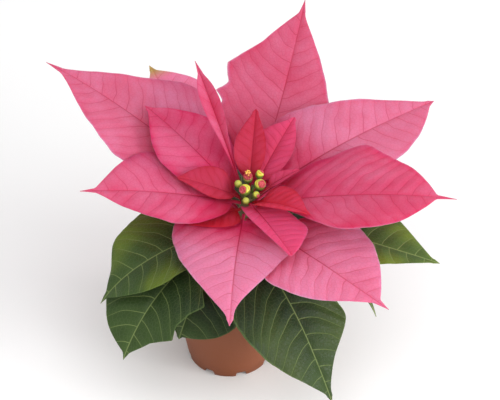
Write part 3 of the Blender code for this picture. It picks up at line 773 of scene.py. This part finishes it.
def leaf_stations(leaf, count):
    """Distances along a leaf: a few down its stalk, and closer ones along its blade and at its ends."""
    root = np.array((-STALK_ROOT, 0.0))
    stalk = np.linspace(0.0, leaf["stalk"], 9)[1:]
    steps = np.linspace(0.0, 1.0, count + 1)[1:]
    eased = steps - 0.06 * np.sin(TURN * steps) / TURN
    return np.concatenate((root, stalk, leaf["stalk"] + leaf["blade"] * eased))


def linked_object(name, mesh):
    """A new object in the scene."""
    made = bpy.data.objects.new(name, mesh)
    bpy.context.scene.collection.objects.link(made)
    return made


def mesh_object(name, points, faces, material):
    """A smooth mesh object from points in millimetres round the pot's axis."""
    mesh = bpy.data.meshes.new(name)
    made = np.asarray(points, float) * MM + AXIS
    mesh.from_pydata(made.tolist(), [], [tuple(int(k) for k in face) for face in faces])
    mesh.validate()
    mesh.shade_smooth()
    if material:
        mesh.materials.append(material)
    return linked_object(name, mesh)


def close_up(piece, merge=0.0):
    """Merges a closed mesh's doubled points, where there are any, and turns its faces outwards."""
    body = bmesh.new()
    body.from_mesh(piece.data)
    if merge:
        bmesh.ops.remove_doubles(body, verts=body.verts, dist=merge)
    bmesh.ops.recalc_face_normals(body, faces=body.faces)
    body.to_mesh(piece.data)
    body.free()


def ring_faces(rows, sides):
    """The faces between rows of points that each go once round."""
    faces = []
    for row in range(rows):
        for k in range(sides):
            here, beside = row * sides + k, row * sides + (k + 1) % sides
            faces.append((here, here + sides, beside + sides, beside))
    return faces


def point_attribute(mesh, name, kind, values):
    """Stores a number or a vector on each point of a mesh."""
    attribute = mesh.attributes.new(name, kind, "POINT")
    key = "value" if kind == "FLOAT" else "vector"
    attribute.data.foreach_set(key, np.asarray(values, np.float32).ravel())


def finish(piece, slot, *nodes):
    """Parents a piece to the frame's body and hides the frame's solids that it stands for."""
    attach(piece, BODY)
    if nodes:
        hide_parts(*nodes)


def both_faces(over, under):
    """The values of a sheet's upper face, then of its lower one, which shares the upper one's edges."""
    return np.concatenate((over.reshape(-1, over.shape[-1]), under[:, 1:-1].reshape(-1, under.shape[-1])))


def quads(grid, order):
    """A grid's faces, each with its corners in an order."""
    corners = np.stack((grid[:-1, :-1], grid[1:, :-1], grid[1:, 1:], grid[:-1, 1:]), axis=-1)
    return corners.reshape(-1, 4)[:, order].tolist()


def add_leaf(name, leaf, seed, material, slot, veins, count, across):
    """A leaf or bract with its stalk, as a thin closed body with a rib beneath."""
    sizes = bpy.context.scene.poinsettia_sizes
    stations, places = leaf_stations(leaf, count), spaced_places(across)
    rows, columns = len(stations), len(places)
    middle, fields, t, stalk, above = leaf_sheet(
        leaf, np.clip(stations, 0.0, None), places, veins, sizes.quilting / MM, seed)
    middle[0] -= STALK_ROOT * unit((middle[2] - middle[1]).mean(axis=0))
    x, share = np.abs(fields[..., 0]), fields[..., 2]
    blade = held(t / SKIN_START)[:, None]
    skin = sizes.blade_thickness / MM / 2 * np.sqrt(held(1 - share**4))
    round_rib = np.sqrt(np.clip(stalk[:, None] ** 2 - x**2, 0.0, None))
    groove = GROOVE_DEPTH * np.exp(-((x / GROOVE_WIDTH) ** 2)) * blade
    over = np.maximum(skin * blade, round_rib * (1 - blade) ** 0.7)
    over = np.maximum(over - groove, -skin * 0.3)
    under = np.maximum(skin * blade, round_rib)
    lifted = middle + over[..., None] * above[:, None, :]
    lowered = middle - under[..., None] * above[:, None, :]
    lifted[:, [0, -1]] = middle[:, [0, -1]]
    points, values = both_faces(lifted, lowered), both_faces(fields, fields)
    top = np.arange(rows * columns).reshape(rows, columns)
    low = top.copy()
    low[:, 1:-1] = np.arange(rows * columns, len(points)).reshape(rows, columns - 2)
    ends = [tuple(top[0]) + tuple(low[0, -2:0:-1]), tuple(top[-1, ::-1]) + tuple(low[-1, 1:-1])]
    faces = [*quads(top, (0, 1, 2, 3)), *quads(low, (0, 3, 2, 1)), *ends]
    piece = mesh_object(f"{name}_fine", points, faces, material)
    close_up(piece)
    mesh = piece.data
    mesh.set_sharp_from_angle(angle=SHARP_BLADE)
    corners = np.empty(len(mesh.loops), np.int32)
    mesh.loops.foreach_get("vertex_index", corners)
    flat = (values[:, :2] / BLADE_UNIT)[corners].astype(np.float32)
    mesh.uv_layers.new(name="blade").data.foreach_set("uv", flat.ravel())
    beneath = np.arange(len(points)) >= rows * columns
    point_attribute(mesh, "where", "FLOAT_VECTOR", np.column_stack((values[:, 2:], beneath)))
    look = np.tile((leaf["tint"], leaf["green"], leaf["bright"]), (len(points), 1))
    point_attribute(mesh, "look", "FLOAT_VECTOR", look)
    finish(piece, slot, name)


def add_leaves(table, first_seed, plain, *details):
    """A table's leaves or bracts, each with its own seed, and with what is plain for them all."""
    for seed, (name, leaf) in enumerate(table.items(), first_seed):
        add_leaf(name, {**PLAIN_LEAF, **plain, **leaf}, seed, *details)


def grown_along(name, path, radii, sides, material, blush=None):
    """A closed round body through points, with a radius and a blush at each."""
    path = np.asarray(path, float)
    way = np.gradient(path, axis=0)
    way /= np.linalg.norm(way, axis=1)[:, None]
    across = np.cross(way, (0.0, 1.0, 0.0))
    across /= np.linalg.norm(across, axis=1)[:, None]
    up = np.cross(way, across)
    turns = (np.arange(sides) * 2 * math.pi / sides)[None, :, None]
    ring = np.cos(turns) * across[:, None, :] + np.sin(turns) * up[:, None, :]
    points = path[:, None, :] + np.asarray(radii)[:, None, None] * ring
    count = len(path)
    ends = [tuple(range(sides)), tuple(reversed(range((count - 1) * sides, count * sides)))]
    piece = mesh_object(name, points.reshape(-1, 3), ends + ring_faces(count - 1, sides), material)
    close_up(piece)
    blush = np.zeros(count) if blush is None else blush
    point_attribute(piece.data, "blush", "FLOAT", np.repeat(blush, sides))
    return piece


# Geometry node trees


def grow(piece, tree, name, **values):
    """Runs a geometry tree on a piece and returns the result as a plain mesh object."""
    modifier = piece.modifiers.new("grow", "NODES")
    modifier.node_group = tree
    for item in tree.interface.items_tree:
        key = item.name.replace(" ", "_").lower()
        if item.item_type == "SOCKET" and item.in_out == "INPUT" and key in values:
            modifier[item.identifier] = values[key]
    bpy.context.view_layer.update()
    graph = bpy.context.evaluated_depsgraph_get()
    mesh = bpy.data.meshes.new_from_object(
        piece.evaluated_get(graph), preserve_all_data_layers=True, depsgraph=graph)
    piece.modifiers.remove(modifier)
    mesh.name = name
    return linked_object(name, mesh)


@made_once("node_groups")
def turned_tree(name):
    """Turns a section round the upright axis and cuts the notches in its foot."""
    net, given = geometry_group(
        name, Sides=256, Notches=NOTCHES, Notch_Start=0.0, Notch_Half_Angle=0.12, Notch_Height=0.0032,
        Material="Material",
    )
    section = net.wire("GeometryNodeMeshToCurve", {"Mesh": given["Shape"]})
    around = {"Resolution": given["Sides"], "Radius": 1.0}
    around = net.wire("GeometryNodeCurvePrimitiveCircle", around, mode="RADIUS")
    sweep = net.wire("GeometryNodeCurveToMesh", {"Curve": around, "Profile Curve": section})
    # The sweep carries the section round a circle of radius 1, so it is drawn back to its own radius
    x, y, z = net.split(net.wire("GeometryNodeInputPosition"))
    turn = net.math("ARCTAN2", y, x)
    radius = net.math("ABSOLUTE", net.math("SQRT", x * x + y * y) - 1.0)
    height = net.math("ABSOLUTE", z)
    phase = (turn - given["Notch Start"]) * given["Notches"] / TURN
    off = net.math("ABSOLUTE", net.math("FRACT", phase + 0.5) - 0.5) * TURN / given["Notches"]
    half = given["Notch Half Angle"]
    inside = net.ramp(off, half * 0.78, half * 1.04, 1.0, 0.0)
    # Everything below the underside of the floor is squeezed up towards it inside a notch
    room = net.most(1.0 - height / (FLOOR_RECESS * MM), 0.0)
    raised = height + inside * room * given["Notch Height"]
    parts = {0: net.math("COSINE", turn) * radius, 1: net.math("SINE", turn) * radius, 2: raised}
    moved = {"Geometry": sweep, "Position": net.wire("ShaderNodeCombineXYZ", parts)}
    return net.painted(net.wire("GeometryNodeSetPosition", moved), given["Material"])


@made_once("node_groups")
def crumb_tree(name):
    """Scatters rough crumbs over a shape where its own "loose" mask says."""
    net, given = geometry_group(name, Density=100000.0, Size=0.0009, Seed=0, Material="Material")
    seed = given["Seed"]
    mask = net.wire("GeometryNodeInputNamedAttribute", {"Name": "loose"}, data_type="FLOAT")
    upper = net.wire("FunctionNodeCompare", {0: mask, 1: 0.5}, data_type="FLOAT", operation="GREATER_THAN")
    feeds = {"Mesh": given["Shape"], "Selection": upper, "Density": given["Density"], "Seed": seed}
    spots = net.wire("GeometryNodeDistributePointsOnFaces", feeds, "Points")
    ball = net.wire("GeometryNodeMeshIcoSphere", {"Radius": 1.0, "Subdivisions": 2})
    lump = net.noise(net.wire("GeometryNodeInputPosition"), 1.3, 2.0, "Color")
    push = net.vector("SCALE", net.vector("SUBTRACT", lump, (0.5, 0.5, 0.5)), 1.6)
    rough = net.wire("GeometryNodeSetPosition", {"Geometry": ball, "Offset": push})
    spin = {0: (0.0, 0.0, 0.0), 1: (6.28, 6.28, 6.28), "Seed": seed}
    spin = net.wire("FunctionNodeRandomValue", spin, data_type="FLOAT_VECTOR")
    grade = net.wire("FunctionNodeRandomValue", {2: 0.45, 3: 1.5, "Seed": seed}, 1, data_type="FLOAT")
    return net.planted(given, spots, rough, spin, grade**1.5 * given["Size"])


@made_once("node_groups")
def sprig_tree(name):
    """Stands small rods, each with a rounded head, on points along the points' own directions."""
    net, given = geometry_group(
        name, Length=0.003, Radius=0.0002, Head_Radius=0.0004, Head_Height=0.0004, Seed=0,
        Material="Material",
    )
    tall, wide, head_wide = given["Length"], given["Radius"], given["Head Radius"]
    rod = net.wire("GeometryNodeMeshCone", {
        "Vertices": 7, "Side Segments": 3, "Radius Top": wide, "Radius Bottom": wide, "Depth": tall,
    })
    head = net.wire("GeometryNodeMeshUVSphere", {"Segments": 10, "Rings": 6, "Radius": head_wide})
    squat = net.wire("ShaderNodeCombineXYZ", {0: 1.0, 1: 1.0, 2: given["Head Height"] / head_wide})
    lift = net.wire("ShaderNodeCombineXYZ", {2: tall})
    head = net.wire("GeometryNodeTransform", {0: head, "Translation": lift, "Scale": squat})
    whole = net.add("GeometryNodeJoinGeometry")
    for part in (head, rod):
        net.feed(whole.inputs[0], part)
    way = net.wire("GeometryNodeInputNamedAttribute", {"Name": "way"}, data_type="FLOAT_VECTOR")
    turned = net.wire("FunctionNodeAlignRotationToVector", {"Vector": way}, axis="Z")
    grade = {2: 0.75, 3: 1.2, "Seed": given["Seed"]}
    grade = net.wire("FunctionNodeRandomValue", grade, 1, data_type="FLOAT")
    return net.planted(given, given["Shape"], Wire(net, whole.outputs[0]), turned, grade)


# Operators


class POINSETTIA_OT_pot(bpy.types.Operator):
    """Builds the pot round the frame's pot"""

    bl_idname = "poinsettia.pot"
    bl_label = "Pot"

    def execute(self, context):
        section = bpy.data.meshes.new("pot_section")
        points = [(radius * MM, height * MM, 0.0) for radius, height in self.outline()]
        section.from_pydata(points, [(k, (k + 1) % len(points)) for k in range(len(points))], [])
        holder = linked_object("pot_section", section)
        look = pot_material("terracotta_plastic_fine", context.scene.poinsettia_colours.pot)
        piece = grow(
            holder, turned_tree("turned_pot"), "pot_fine", notch_start=math.radians(NOTCH_START),
            notch_half_angle=NOTCH_HALF_WIDTH / POT_FOOT_RADIUS, material=look,
        )
        bpy.data.objects.remove(holder)
        close_up(piece, 2e-6)
        cutters = []
        for k in range(DRAIN_HOLES):
            turn = TURN * (k + DRAIN_START) / DRAIN_HOLES
            middle = np.array((DRAIN_CIRCLE * math.cos(turn), DRAIN_CIRCLE * math.sin(turn), 0.0))
            path = [middle + (0, 0.001 * i, height) for i, height in enumerate((3.0, 6.5))]
            cutter = grown_along(f"drain_cutter_{k}", path, (DRAIN_RADIUS, DRAIN_RADIUS), 32, None)
            cutter.data.transform(Matrix.Translation(Vector(-AXIS)))
            cutters.append(cutter)
            cut = piece.modifiers.new("drain", "BOOLEAN")
            cut.operation, cut.solver, cut.object = "DIFFERENCE", "EXACT", cutter
        context.view_layer.update()
        graph = context.evaluated_depsgraph_get()
        mesh = bpy.data.meshes.new_from_object(piece.evaluated_get(graph))
        piece.modifiers.clear()
        piece.data = mesh
        for cutter in cutters:
            bpy.data.objects.remove(cutter)
        mesh.transform(Matrix.Translation(Vector(AXIS)))
        mesh.shade_smooth()
        mesh.set_sharp_from_angle(angle=SHARP_POT)
        finish(piece, "terracotta_plastic", "pot")
        return {"FINISHED"}

    def outline(self):
        """The pot's section, as radius and height: up its inside, over its rim and down its outside."""
        top, foot = POT_TOP_RADIUS - COLLAR_STEP, POT_FOOT_RADIUS
        floor_top, collar, ring = FLOOR_RECESS + WALL, POT_HEIGHT - COLLAR_HEIGHT, foot - FOOT_RING_WIDTH
        centre = 0.01

        def wall(height):
            return foot + (top - foot) * height / POT_HEIGHT

        low = wall(floor_top) - WALL
        outline = [(centre, floor_top), (low - 1.5, floor_top), (low - 0.4, floor_top + 0.3)]
        outline += [(wall(height) - WALL, height) for height in (floor_top + 1.2, 20.0, 35.0, 50.0)]
        outline += [(wall(POT_HEIGHT - 1) - WALL, POT_HEIGHT - 0.9)]
        for step in range(7):
            turn = math.pi * (1 - step / 6)
            reach = top - WALL / 2 + 0.4 + 1.1 * math.cos(turn)
            outline.append((reach, POT_HEIGHT - 0.5 + 0.5 * math.sin(turn)))
        outline += [(POT_TOP_RADIUS - 0.15, POT_HEIGHT - 1.2)]
        steps = ((COLLAR_STEP, 1.4), (COLLAR_STEP * 0.85, 0.75), (COLLAR_STEP * 0.35, 0.45), (0.05, 0))
        outline += [(wall(collar) + out, collar + up) for out, up in steps]
        heights = (52.0, 44.0, 36.0, 28.0, 20.0, 13.0, 8.0, 5.0, 3.4, 1.0)
        outline += [(wall(height), height) for height in heights]
        outline += [(foot - 0.08, 0.35), (foot - 0.35, 0.0), (ring + 0.3, 0.0), (ring, 0.3), (ring, 3.4)]
        return outline + [(ring - 0.2, FLOOR_RECESS), (centre, FLOOR_RECESS)]


class POINSETTIA_OT_soil(bpy.types.Operator):
    """Builds the potting mix and the crumbs on it"""

    bl_idname = "poinsettia.soil"
    bl_label = "Soil"

    def execute(self, context):
        sizes, soil = context.scene.poinsettia_sizes, context.scene.poinsettia_colours.soil
        look = soil_material("potting_mix_fine", soil, shade(soil, 2.2))
        piece = self.add_mix(look)
        kinds = (
            ("soil_crumbs", 150000.0, 1.0, 0, "crumb_dark", shade(soil, 0.9), shade(soil, 3.2)),
            ("soil_fibres", 30000.0, 1.25, 5, "crumb_brown", (0.075, 0.042, 0.022), (0.13, 0.08, 0.045)),
            ("soil_perlite", 6500.0, 1.1, 11, "crumb_white", (0.62, 0.60, 0.55), (0.78, 0.77, 0.74)),
        )
        crumbs = [
            grow(piece, crumb_tree("scattered_crumbs"), name, density=density, size=sizes.crumb_size * size,
                 seed=sizes.crumb_seed + seed, material=soil_material(look, dark, light))
            for name, density, size, seed, look, dark, light in kinds
        ]
        finish(piece, "potting_mix", "soil")
        for made in crumbs:
            finish(made, "potting_mix")
        return {"FINISHED"}

    def add_mix(self, look):
        """The mix, with its uneven top marked as where crumbs lie loose."""
        low, high = SOIL_LOW.z / MM, SOIL_HIGH.z / MM
        edge = (SOIL_HIGH.x - SOIL_LOW.x) / 2 / MM
        foot = edge - (POT_TOP_RADIUS - COLLAR_STEP - POT_FOOT_RADIUS) * (SOIL_TOP - low) / POT_HEIGHT
        sides, steps = 72, 16
        outline = [(foot, low), (edge, SOIL_TOP - 1.2)]
        for step in range(1, steps):
            left = 1 - step / steps
            outline.append((edge * left**0.9, high - 2.2 * left**1.5 - 0.6))
        points, faces = [(0.0, 0.0, low)], []
        for row, (radius, height) in enumerate(outline):
            for k in range(sides):
                turn = TURN * k / sides
                bump = 0.35 * math.sin(3 * turn + row) + 0.3 * math.sin(7 * turn - 1.9 * row)
                bump += 0.2 * math.sin(13 * turn + 2.6 * row)
                place = (radius * math.cos(turn), radius * math.sin(turn))
                points.append((*place, height + (bump if row > 1 else 0.0)))
        points.append((0.0, 0.0, high - 0.6))
        top = 1 + (len(outline) - 1) * sides
        for k in range(sides):
            after = (k + 1) % sides
            faces.append((0, 1 + after, 1 + k))
            for here in range(1, top, sides):
                faces.append((here + k, here + after, here + sides + after, here + sides + k))
            faces.append((top + k, top + after, len(points) - 1))
        piece = mesh_object("soil_fine", points, faces, look)
        close_up(piece)
        point_attribute(piece.data, "loose", "FLOAT", np.arange(len(points)) > 2 * sides)
        return piece


class POINSETTIA_OT_stem(bpy.types.Operator):
    """Builds the stem, swollen where its leaves leave it"""

    bl_idname = "poinsettia.stem"
    bl_label = "Stem"

    def execute(self, context):
        heights = np.concatenate((np.arange(STEM_FOOT, TOP[2], 0.8), (TOP[2],)))
        leaves = [leaf for table in (BRACTS, SMALL_BRACTS, LEAVES) for leaf in table.values()]
        seats = np.array([TOP[2] - leaf["depth"] for leaf in leaves])
        swell = np.exp(-(((heights[:, None] - seats[None, :]) / 1.6) ** 2)).sum(axis=1)
        radii = np.array([stem_radius(height) for height in heights]) + 0.22 * np.clip(swell, 0, 1.6)
        path = [stem_centre(height) for height in heights]
        dome = ((0.45, 0.93), (0.8, 0.72), (1.0, 0.4))
        path += [TOP + (0, 0, KNOT_DOME * up) for up, _ in dome]
        radii = [*radii, *(KNOT_RADIUS * wide for _, wide in dome)]
        levels = np.array([point[2] for point in path])
        # Browner towards the foot, where the stem turns woody, and a darker reddish brown at the knot:
        # there partly the stem's own colour and partly painted shade under the bracts
        blush = 0.8 * held((75.0 - levels) / 25.0) + 0.65 * held((levels - 112.0) / 6.0)
        tones = (0.12, 0.125, 0.035), (0.15, 0.165, 0.045), (0.085, 0.050, 0.022)
        look = grown_material("stem_skin", *tones, 120.0, 0.45, 0.0002)
        finish(grown_along("stem_fine", path, radii, 40, look, blush), "green_stem", "stem")
        return {"FINISHED"}


class POINSETTIA_OT_bracts(bpy.types.Operator):
    """Builds the large pink bracts"""

    bl_idname = "poinsettia.bracts"
    bl_label = "Large bracts"

    def execute(self, context):
        colours = context.scene.poinsettia_colours
        spacing = 1.2 / context.scene.poinsettia_sizes.bract_veins
        look = bract_material(
            "bract_pink", colours.bract_pale, colours.bract_deep, colours.bract_vein, spacing,
            net_scale=42.0, start=0.04, end=0.47, least=0.2,
        )
        veins = (spacing, *BRACT_VEINS)
        add_leaves(BRACTS, BRACT_SEED, {}, look, "pink_bract", veins, BLADE_ROWS, BLADE_PLACES)
        return {"FINISHED"}


class POINSETTIA_OT_small_bracts(bpy.types.Operator):
    """Builds the small redder bracts round the flowers"""

    bl_idname = "poinsettia.small_bracts"
    bl_label = "Small bracts"

    def execute(self, context):
        colours = context.scene.poinsettia_colours
        spacing = SMALL_BRACT_SPACING
        look = bract_material(
            "bract_red", colours.small_pale, colours.small_deep, colours.bract_vein, spacing,
            net_scale=60.0, start=-0.2, end=0.3, least=0.0,
        )
        plain, veins = {"waves": 0.35, "tint": 0.6}, (spacing, *BRACT_VEINS)
        add_leaves(SMALL_BRACTS, SMALL_SEED, plain, look, "red_bract", veins, SMALL_ROWS, SMALL_PLACES)
        return {"FINISHED"}


class POINSETTIA_OT_leaves(bpy.types.Operator):
    """Builds the green leaves"""

    bl_idname = "poinsettia.leaves"
    bl_label = "Leaves"

    def execute(self, context):
        colours = context.scene.poinsettia_colours
        look = leaf_material("leaf_green", colours.leaf_dark, colours.leaf_light, colours.leaf_vein)
        plain = {"waves": 1.0, "tint": 0.3}
        add_leaves(LEAVES, LEAF_SEED, plain, look, "green_leaf", LEAF_VEINS, BLADE_ROWS, BLADE_PLACES)
        return {"FINISHED"}


class POINSETTIA_OT_cyathia(bpy.types.Operator):
    """Builds the small true flowers, with their cups, glands, fringes and stamens"""

    bl_idname = "poinsettia.cyathia"
    bl_label = "Flowers"

    def execute(self, context):
        cup, gland = context.scene.poinsettia_colours.cup, context.scene.poinsettia_colours.gland
        looks = [grown_material(*row) for row in (
            ("cup_skin", cup, shade(cup, 0.6), (0.36, 0.03, 0.035), 500.0, 0.35, 0.00008),
            ("gland_skin", gland, (gland[0] * 0.8, *gland[1:]), (0.60, 0.07, 0.04), 600.0, 0.25, 0.00005),
            ("fringe_red", (0.66, 0.12, 0.14), (0.46, 0.03, 0.045), (0.6, 0.3, 0.1), 900.0, 0.4, 0.00005),
            ("pollen", (0.90, 0.50, 0.06), (0.85, 0.62, 0.14), (0.7, 0.3, 0.1), 1500.0, 0.6, 0.00005),
        )]
        for k, (offset, radius, mouth, lips, half_angle, size, stamens) in enumerate(CYATHIA):
            name, mouth = f"cyathium_{k + 1}", unit(mouth)
            self.add_cup(name, np.array(offset), mouth, radius, half_angle, looks[0])
            if size:
                self.add_gland(name, TOP + offset, mouth, unit(lips), radius, size, looks[1])
            if half_angle:
                self.add_sprigs(name, TOP + offset, mouth, radius, half_angle, stamens, k, *looks[2:])
        return {"FINISHED"}

    def add_cup(self, name, offset, mouth, radius, half_angle, look):
        """A cup on its short stalk, with a dented mouth, or with seams where a closed one will open."""
        centre = TOP + offset
        axis = unit((offset[0] * 0.06, offset[1] * 0.06, 1.0))
        flat = offset * (1, 1, 0)
        seat = TOP + flat / max(np.linalg.norm(flat), 1e-6) * 3.9 + (0, 0, KNOT_DOME * 0.5)
        foot = centre - 1.15 * radius * axis
        path, radii = [], []
        for share in np.linspace(0.0, 1.0, 6)[:-1]:
            path.append(seat + (foot - seat) * share + (0, 0, 0.4 * math.sin(math.pi * share)))
            radii.append(0.7 + 0.25 * (1 - share) ** 3)
        for share in np.linspace(-1.08, 1.0, 40):
            path.append(centre + axis * radius * share * 1.02)
            radii.append(max(0.12, radius * math.sqrt(max(0.0, 1 - (abs(share) / 1.09) ** 2.3))))
        cup = grown_along(f"{name}_cup", path, radii, 48, look)
        points = np.empty(len(cup.data.vertices) * 3)
        cup.data.vertices.foreach_get("co", points)
        points = points.reshape(-1, 3)
        out = points - (centre * MM + AXIS)
        towards = out / np.maximum(np.linalg.norm(out, axis=1), 1e-9)[:, None]
        near = towards @ mouth
        ripe = held(0.12 + 0.62 * towards[:, 2] + 0.3 * near)
        if half_angle:
            edge = math.cos(math.radians(half_angle))
            dent = held((near - edge) / (1 - edge))
            rim = np.exp(-(((near - edge + 0.04) / 0.07) ** 2))
            push = rim * 0.08 - dent**0.7 * 0.3
            blush = held(dent * 2.2 + 0.25 * rim)
        else:
            beside = np.cross(mouth, (1.0, 0.0, 0.0))
            turn = np.arctan2(towards @ np.cross(mouth, beside), towards @ beside)
            tilt = np.degrees(np.arccos(np.clip(near, -1, 1)))
            seam, crown = np.abs(np.sin(2.5 * turn)) ** 0.5, np.exp(-((tilt / 30.0) ** 2))
            push = seam * np.exp(-(((tilt - 24.0) / 10.0) ** 2)) * 0.05 - (1 - seam) * crown * 0.14
            blush = 0.45 * (1 - seam) * crown * held(tilt / 8.0)
            ripe = held(ripe + 0.5 * crown)
        points += towards * push[:, None] * radius * MM
        cup.data.vertices.foreach_set("co", points.ravel())
        cup.data.attributes["blush"].data.foreach_set("value", blush.astype(np.float32))
        point_attribute(cup.data, "ripe", "FLOAT", ripe)
        cup.data.update()
        finish(cup, "yellow_green_cyathium", name)

    def add_gland(self, name, centre, mouth, out, radius, size, look):
        """The two-lipped gland on a cup's side, bent round the cup's mouth."""
        aside = unit(np.cross(mouth, out))
        up = np.cross(out, aside)
        up *= -np.sign(up @ mouth)
        rows, sides = 18, 32
        points, blush = [], []
        for row in range(rows + 1):
            tilt = math.pi * row / rows
            for k in range(sides):
                turn, c = TURN * k / sides, math.cos(tilt)
                a, b = math.sin(tilt) * math.cos(turn), math.sin(tilt) * math.sin(turn)
                slot = math.exp(-(((c + 0.25) / 0.2) ** 2)) * max(0.0, a) * max(0.0, 1 - abs(b)) ** 0.3
                points.append(centre + radius * (
                    out * (0.78 + size * (0.34 * a * (1 - 0.5 * slot) - 0.16 * b * b))
                    + aside * 0.66 * size * b
                    + up * size * (0.40 * c - 0.34 * b * b)
                ))
                blush.append(min(1.0, 1.1 * slot))
        piece = mesh_object(f"{name}_lips", points, ring_faces(rows, sides), look)
        point_attribute(piece.data, "blush", "FLOAT", blush)
        close_up(piece, 1e-7)
        finish(piece, "yellow_green_cyathium")

    def add_sprigs(self, name, centre, mouth, radius, half_angle, stamens, seed, red, pollen):
        """The fringe and buds in a cup's mouth, and the stamens of an open one."""
        aside = unit(np.cross(mouth, (0.0, 1.0, 0.0)))
        up = np.cross(mouth, aside)
        wide = math.sin(math.radians(half_angle))
        tall = unit(mouth * 0.8 + np.array((0.0, 0.1, 0.6)))
        # Word, count, spread, lift, splay, length, rod, head, head's height, look, lean
        groups = (
            ("buds", 16, wide * 0.82, 0.52, 0.25, 0.30, 0.16, 0.21, 0.20, red, mouth),
            ("filaments", stamens * 2, 0.40, 0.70, 0.30, 0.75, 0.10, 0.15, 0.15, red, tall),
            ("anthers", stamens, 0.34, 0.75, 0.32, 1.12, 0.045, 0.19, 0.15, pollen, tall),
            ("fringe", 15, wide, 0.72, -0.35, 0.26, 0.11, 0.13, 0.16, red, mouth),
        )
        for word, count, spread, lift, splay, long, rod, head, head_height, look, lean in groups:
            points, ways = [], []
            for k in range(count):
                in_ring = word == "fringe"
                turn = TURN * k / count if in_ring else k * GOLDEN_ANGLE
                share = 1.0 if in_ring else math.sqrt((k + 0.5) / count)
                side = aside * math.cos(turn) + up * math.sin(turn)
                points.append(tuple((centre + radius * (mouth * lift + side * spread * share)) * MM + AXIS))
                ways.append(unit(lean + side * splay * share))
            if points:
                spots = bpy.data.meshes.new(f"{name}_{word}_spots")
                spots.from_pydata(points, [], [])
                point_attribute(spots, "way", "FLOAT_VECTOR", ways)
                holder = linked_object(spots.name, spots)
                piece = grow(
                    holder, sprig_tree("standing_sprigs"), f"{name}_{word}", length=radius * long * MM,
                    radius=radius * rod * MM, head_radius=radius * head * MM,
                    head_height=radius * head_height * MM, seed=seed, material=look,
                )
                bpy.data.objects.remove(holder)
                finish(piece, "yellow_green_cyathium")


class POINSETTIA_OT_stage(bpy.types.Operator):
    """Sets the floor, the lights and the camera"""

    bl_idname = "poinsettia.stage"
    bl_label = "Stage"

    def execute(self, context):
        scene, stage = context.scene, context.scene.poinsettia_stage
        scene.view_settings.view_transform = "Standard"
        self.add_floor()
        self.add_world(stage.world_strength)
        target = Vector(AXIS) + Vector(CAMERA_TARGET) * MM
        lights = (
            ("top_light", (0.05, -0.9, 1.5), 1.6, stage.top_power),
            ("right_light", (1.55, -0.85, 0.75), 0.9, stage.side_power),
        )
        for name, place, size, power in lights:
            data = bpy.data.lights.new(name, "AREA")
            data.energy, data.size = power, size
            light = linked_object(name, data)
            light.location = place
            light.rotation_euler = (target - Vector(place)).to_track_quat("-Z", "Y").to_euler()
        data = bpy.data.cameras.new("camera")
        data.lens, data.sensor_width = stage.lens, 36.0
        camera, lift = linked_object("camera", data), stage.camera_elevation
        camera.location = target + Vector((0.0, -math.cos(lift), math.sin(lift))) * stage.camera_distance
        camera.rotation_euler = (math.pi / 2 - lift, 0.0, 0.0)
        scene.camera = camera
        return {"FINISHED"}

    def add_floor(self):
        """A wide pale floor with a faint unevenness."""
        mesh = bpy.data.meshes.new("floor")
        wide = FLOOR_HALF_WIDTH
        mesh.from_pydata([(-wide, -wide, 0), (wide, -wide, 0), (wide, wide, 0), (-wide, wide, 0)], [],
                         [(0, 1, 2, 3)])
        skin = Skin("pale_floor", Specular_IOR_Level=0.1)
        blotch, grain = skin.mottle(3.0, 60.0)
        tone = skin.mix(blotch, (0.95, 0.95, 0.95), (0.97, 0.97, 0.97))
        mesh.materials.append(skin.finish(tone, grain * 0.1 + 0.85))
        linked_object("floor", mesh)

    def add_world(self, strength):
        """An even white light from all round."""
        world = bpy.data.worlds.new("studio")
        world.use_nodes = True
        sky = world.node_tree.nodes["Background"]
        sky.inputs["Color"].default_value = (1.0, 1.0, 1.0, 1.0)
        sky.inputs["Strength"].default_value = strength
        bpy.context.scene.world = world


class POINSETTIA_PT_panel(bpy.types.Panel):
    """Sizes, colours and steps of the poinsettia"""

    bl_idname = "POINSETTIA_PT_panel"
    bl_label = "Poinsettia"
    bl_space_type = "VIEW_3D"
    bl_region_type = "UI"
    bl_category = "Poinsettia"

    def draw(self, context):
        for word, group in GROUPS.items():
            box = self.layout.box()
            for name in group.__annotations__:
                box.prop(getattr(context.scene, word), name)
        for step in STEPS:
            self.layout.operator(step.bl_idname)


STEPS = (
    POINSETTIA_OT_stage, POINSETTIA_OT_pot, POINSETTIA_OT_soil, POINSETTIA_OT_stem, POINSETTIA_OT_bracts,
    POINSETTIA_OT_small_bracts, POINSETTIA_OT_leaves, POINSETTIA_OT_cyathia,
)
GROUPS = {
    "poinsettia_sizes": PoinsettiaSizes, "poinsettia_colours": PoinsettiaColours,
    "poinsettia_stage": PoinsettiaStage,
}


def register():
    """Registers the property groups, the operators and the panel."""
    for made in (*GROUPS.values(), *STEPS, POINSETTIA_PT_panel):
        bpy.utils.register_class(made)
    for name, group in GROUPS.items():
        setattr(bpy.types.Scene, name, bpy.props.PointerProperty(type=group))


def unregister():
    """Removes what register made."""
    for name in GROUPS:
        delattr(bpy.types.Scene, name)
    for made in (POINSETTIA_PT_panel, *reversed(STEPS), *GROUPS.values()):
        bpy.utils.unregister_class(made)


def main():
    """Builds everything in order."""
    register()
    for step in STEPS:
        family, name = step.bl_idname.split(".")
        getattr(getattr(bpy.ops, family), name)()


if __name__ == "__main__":
    main()
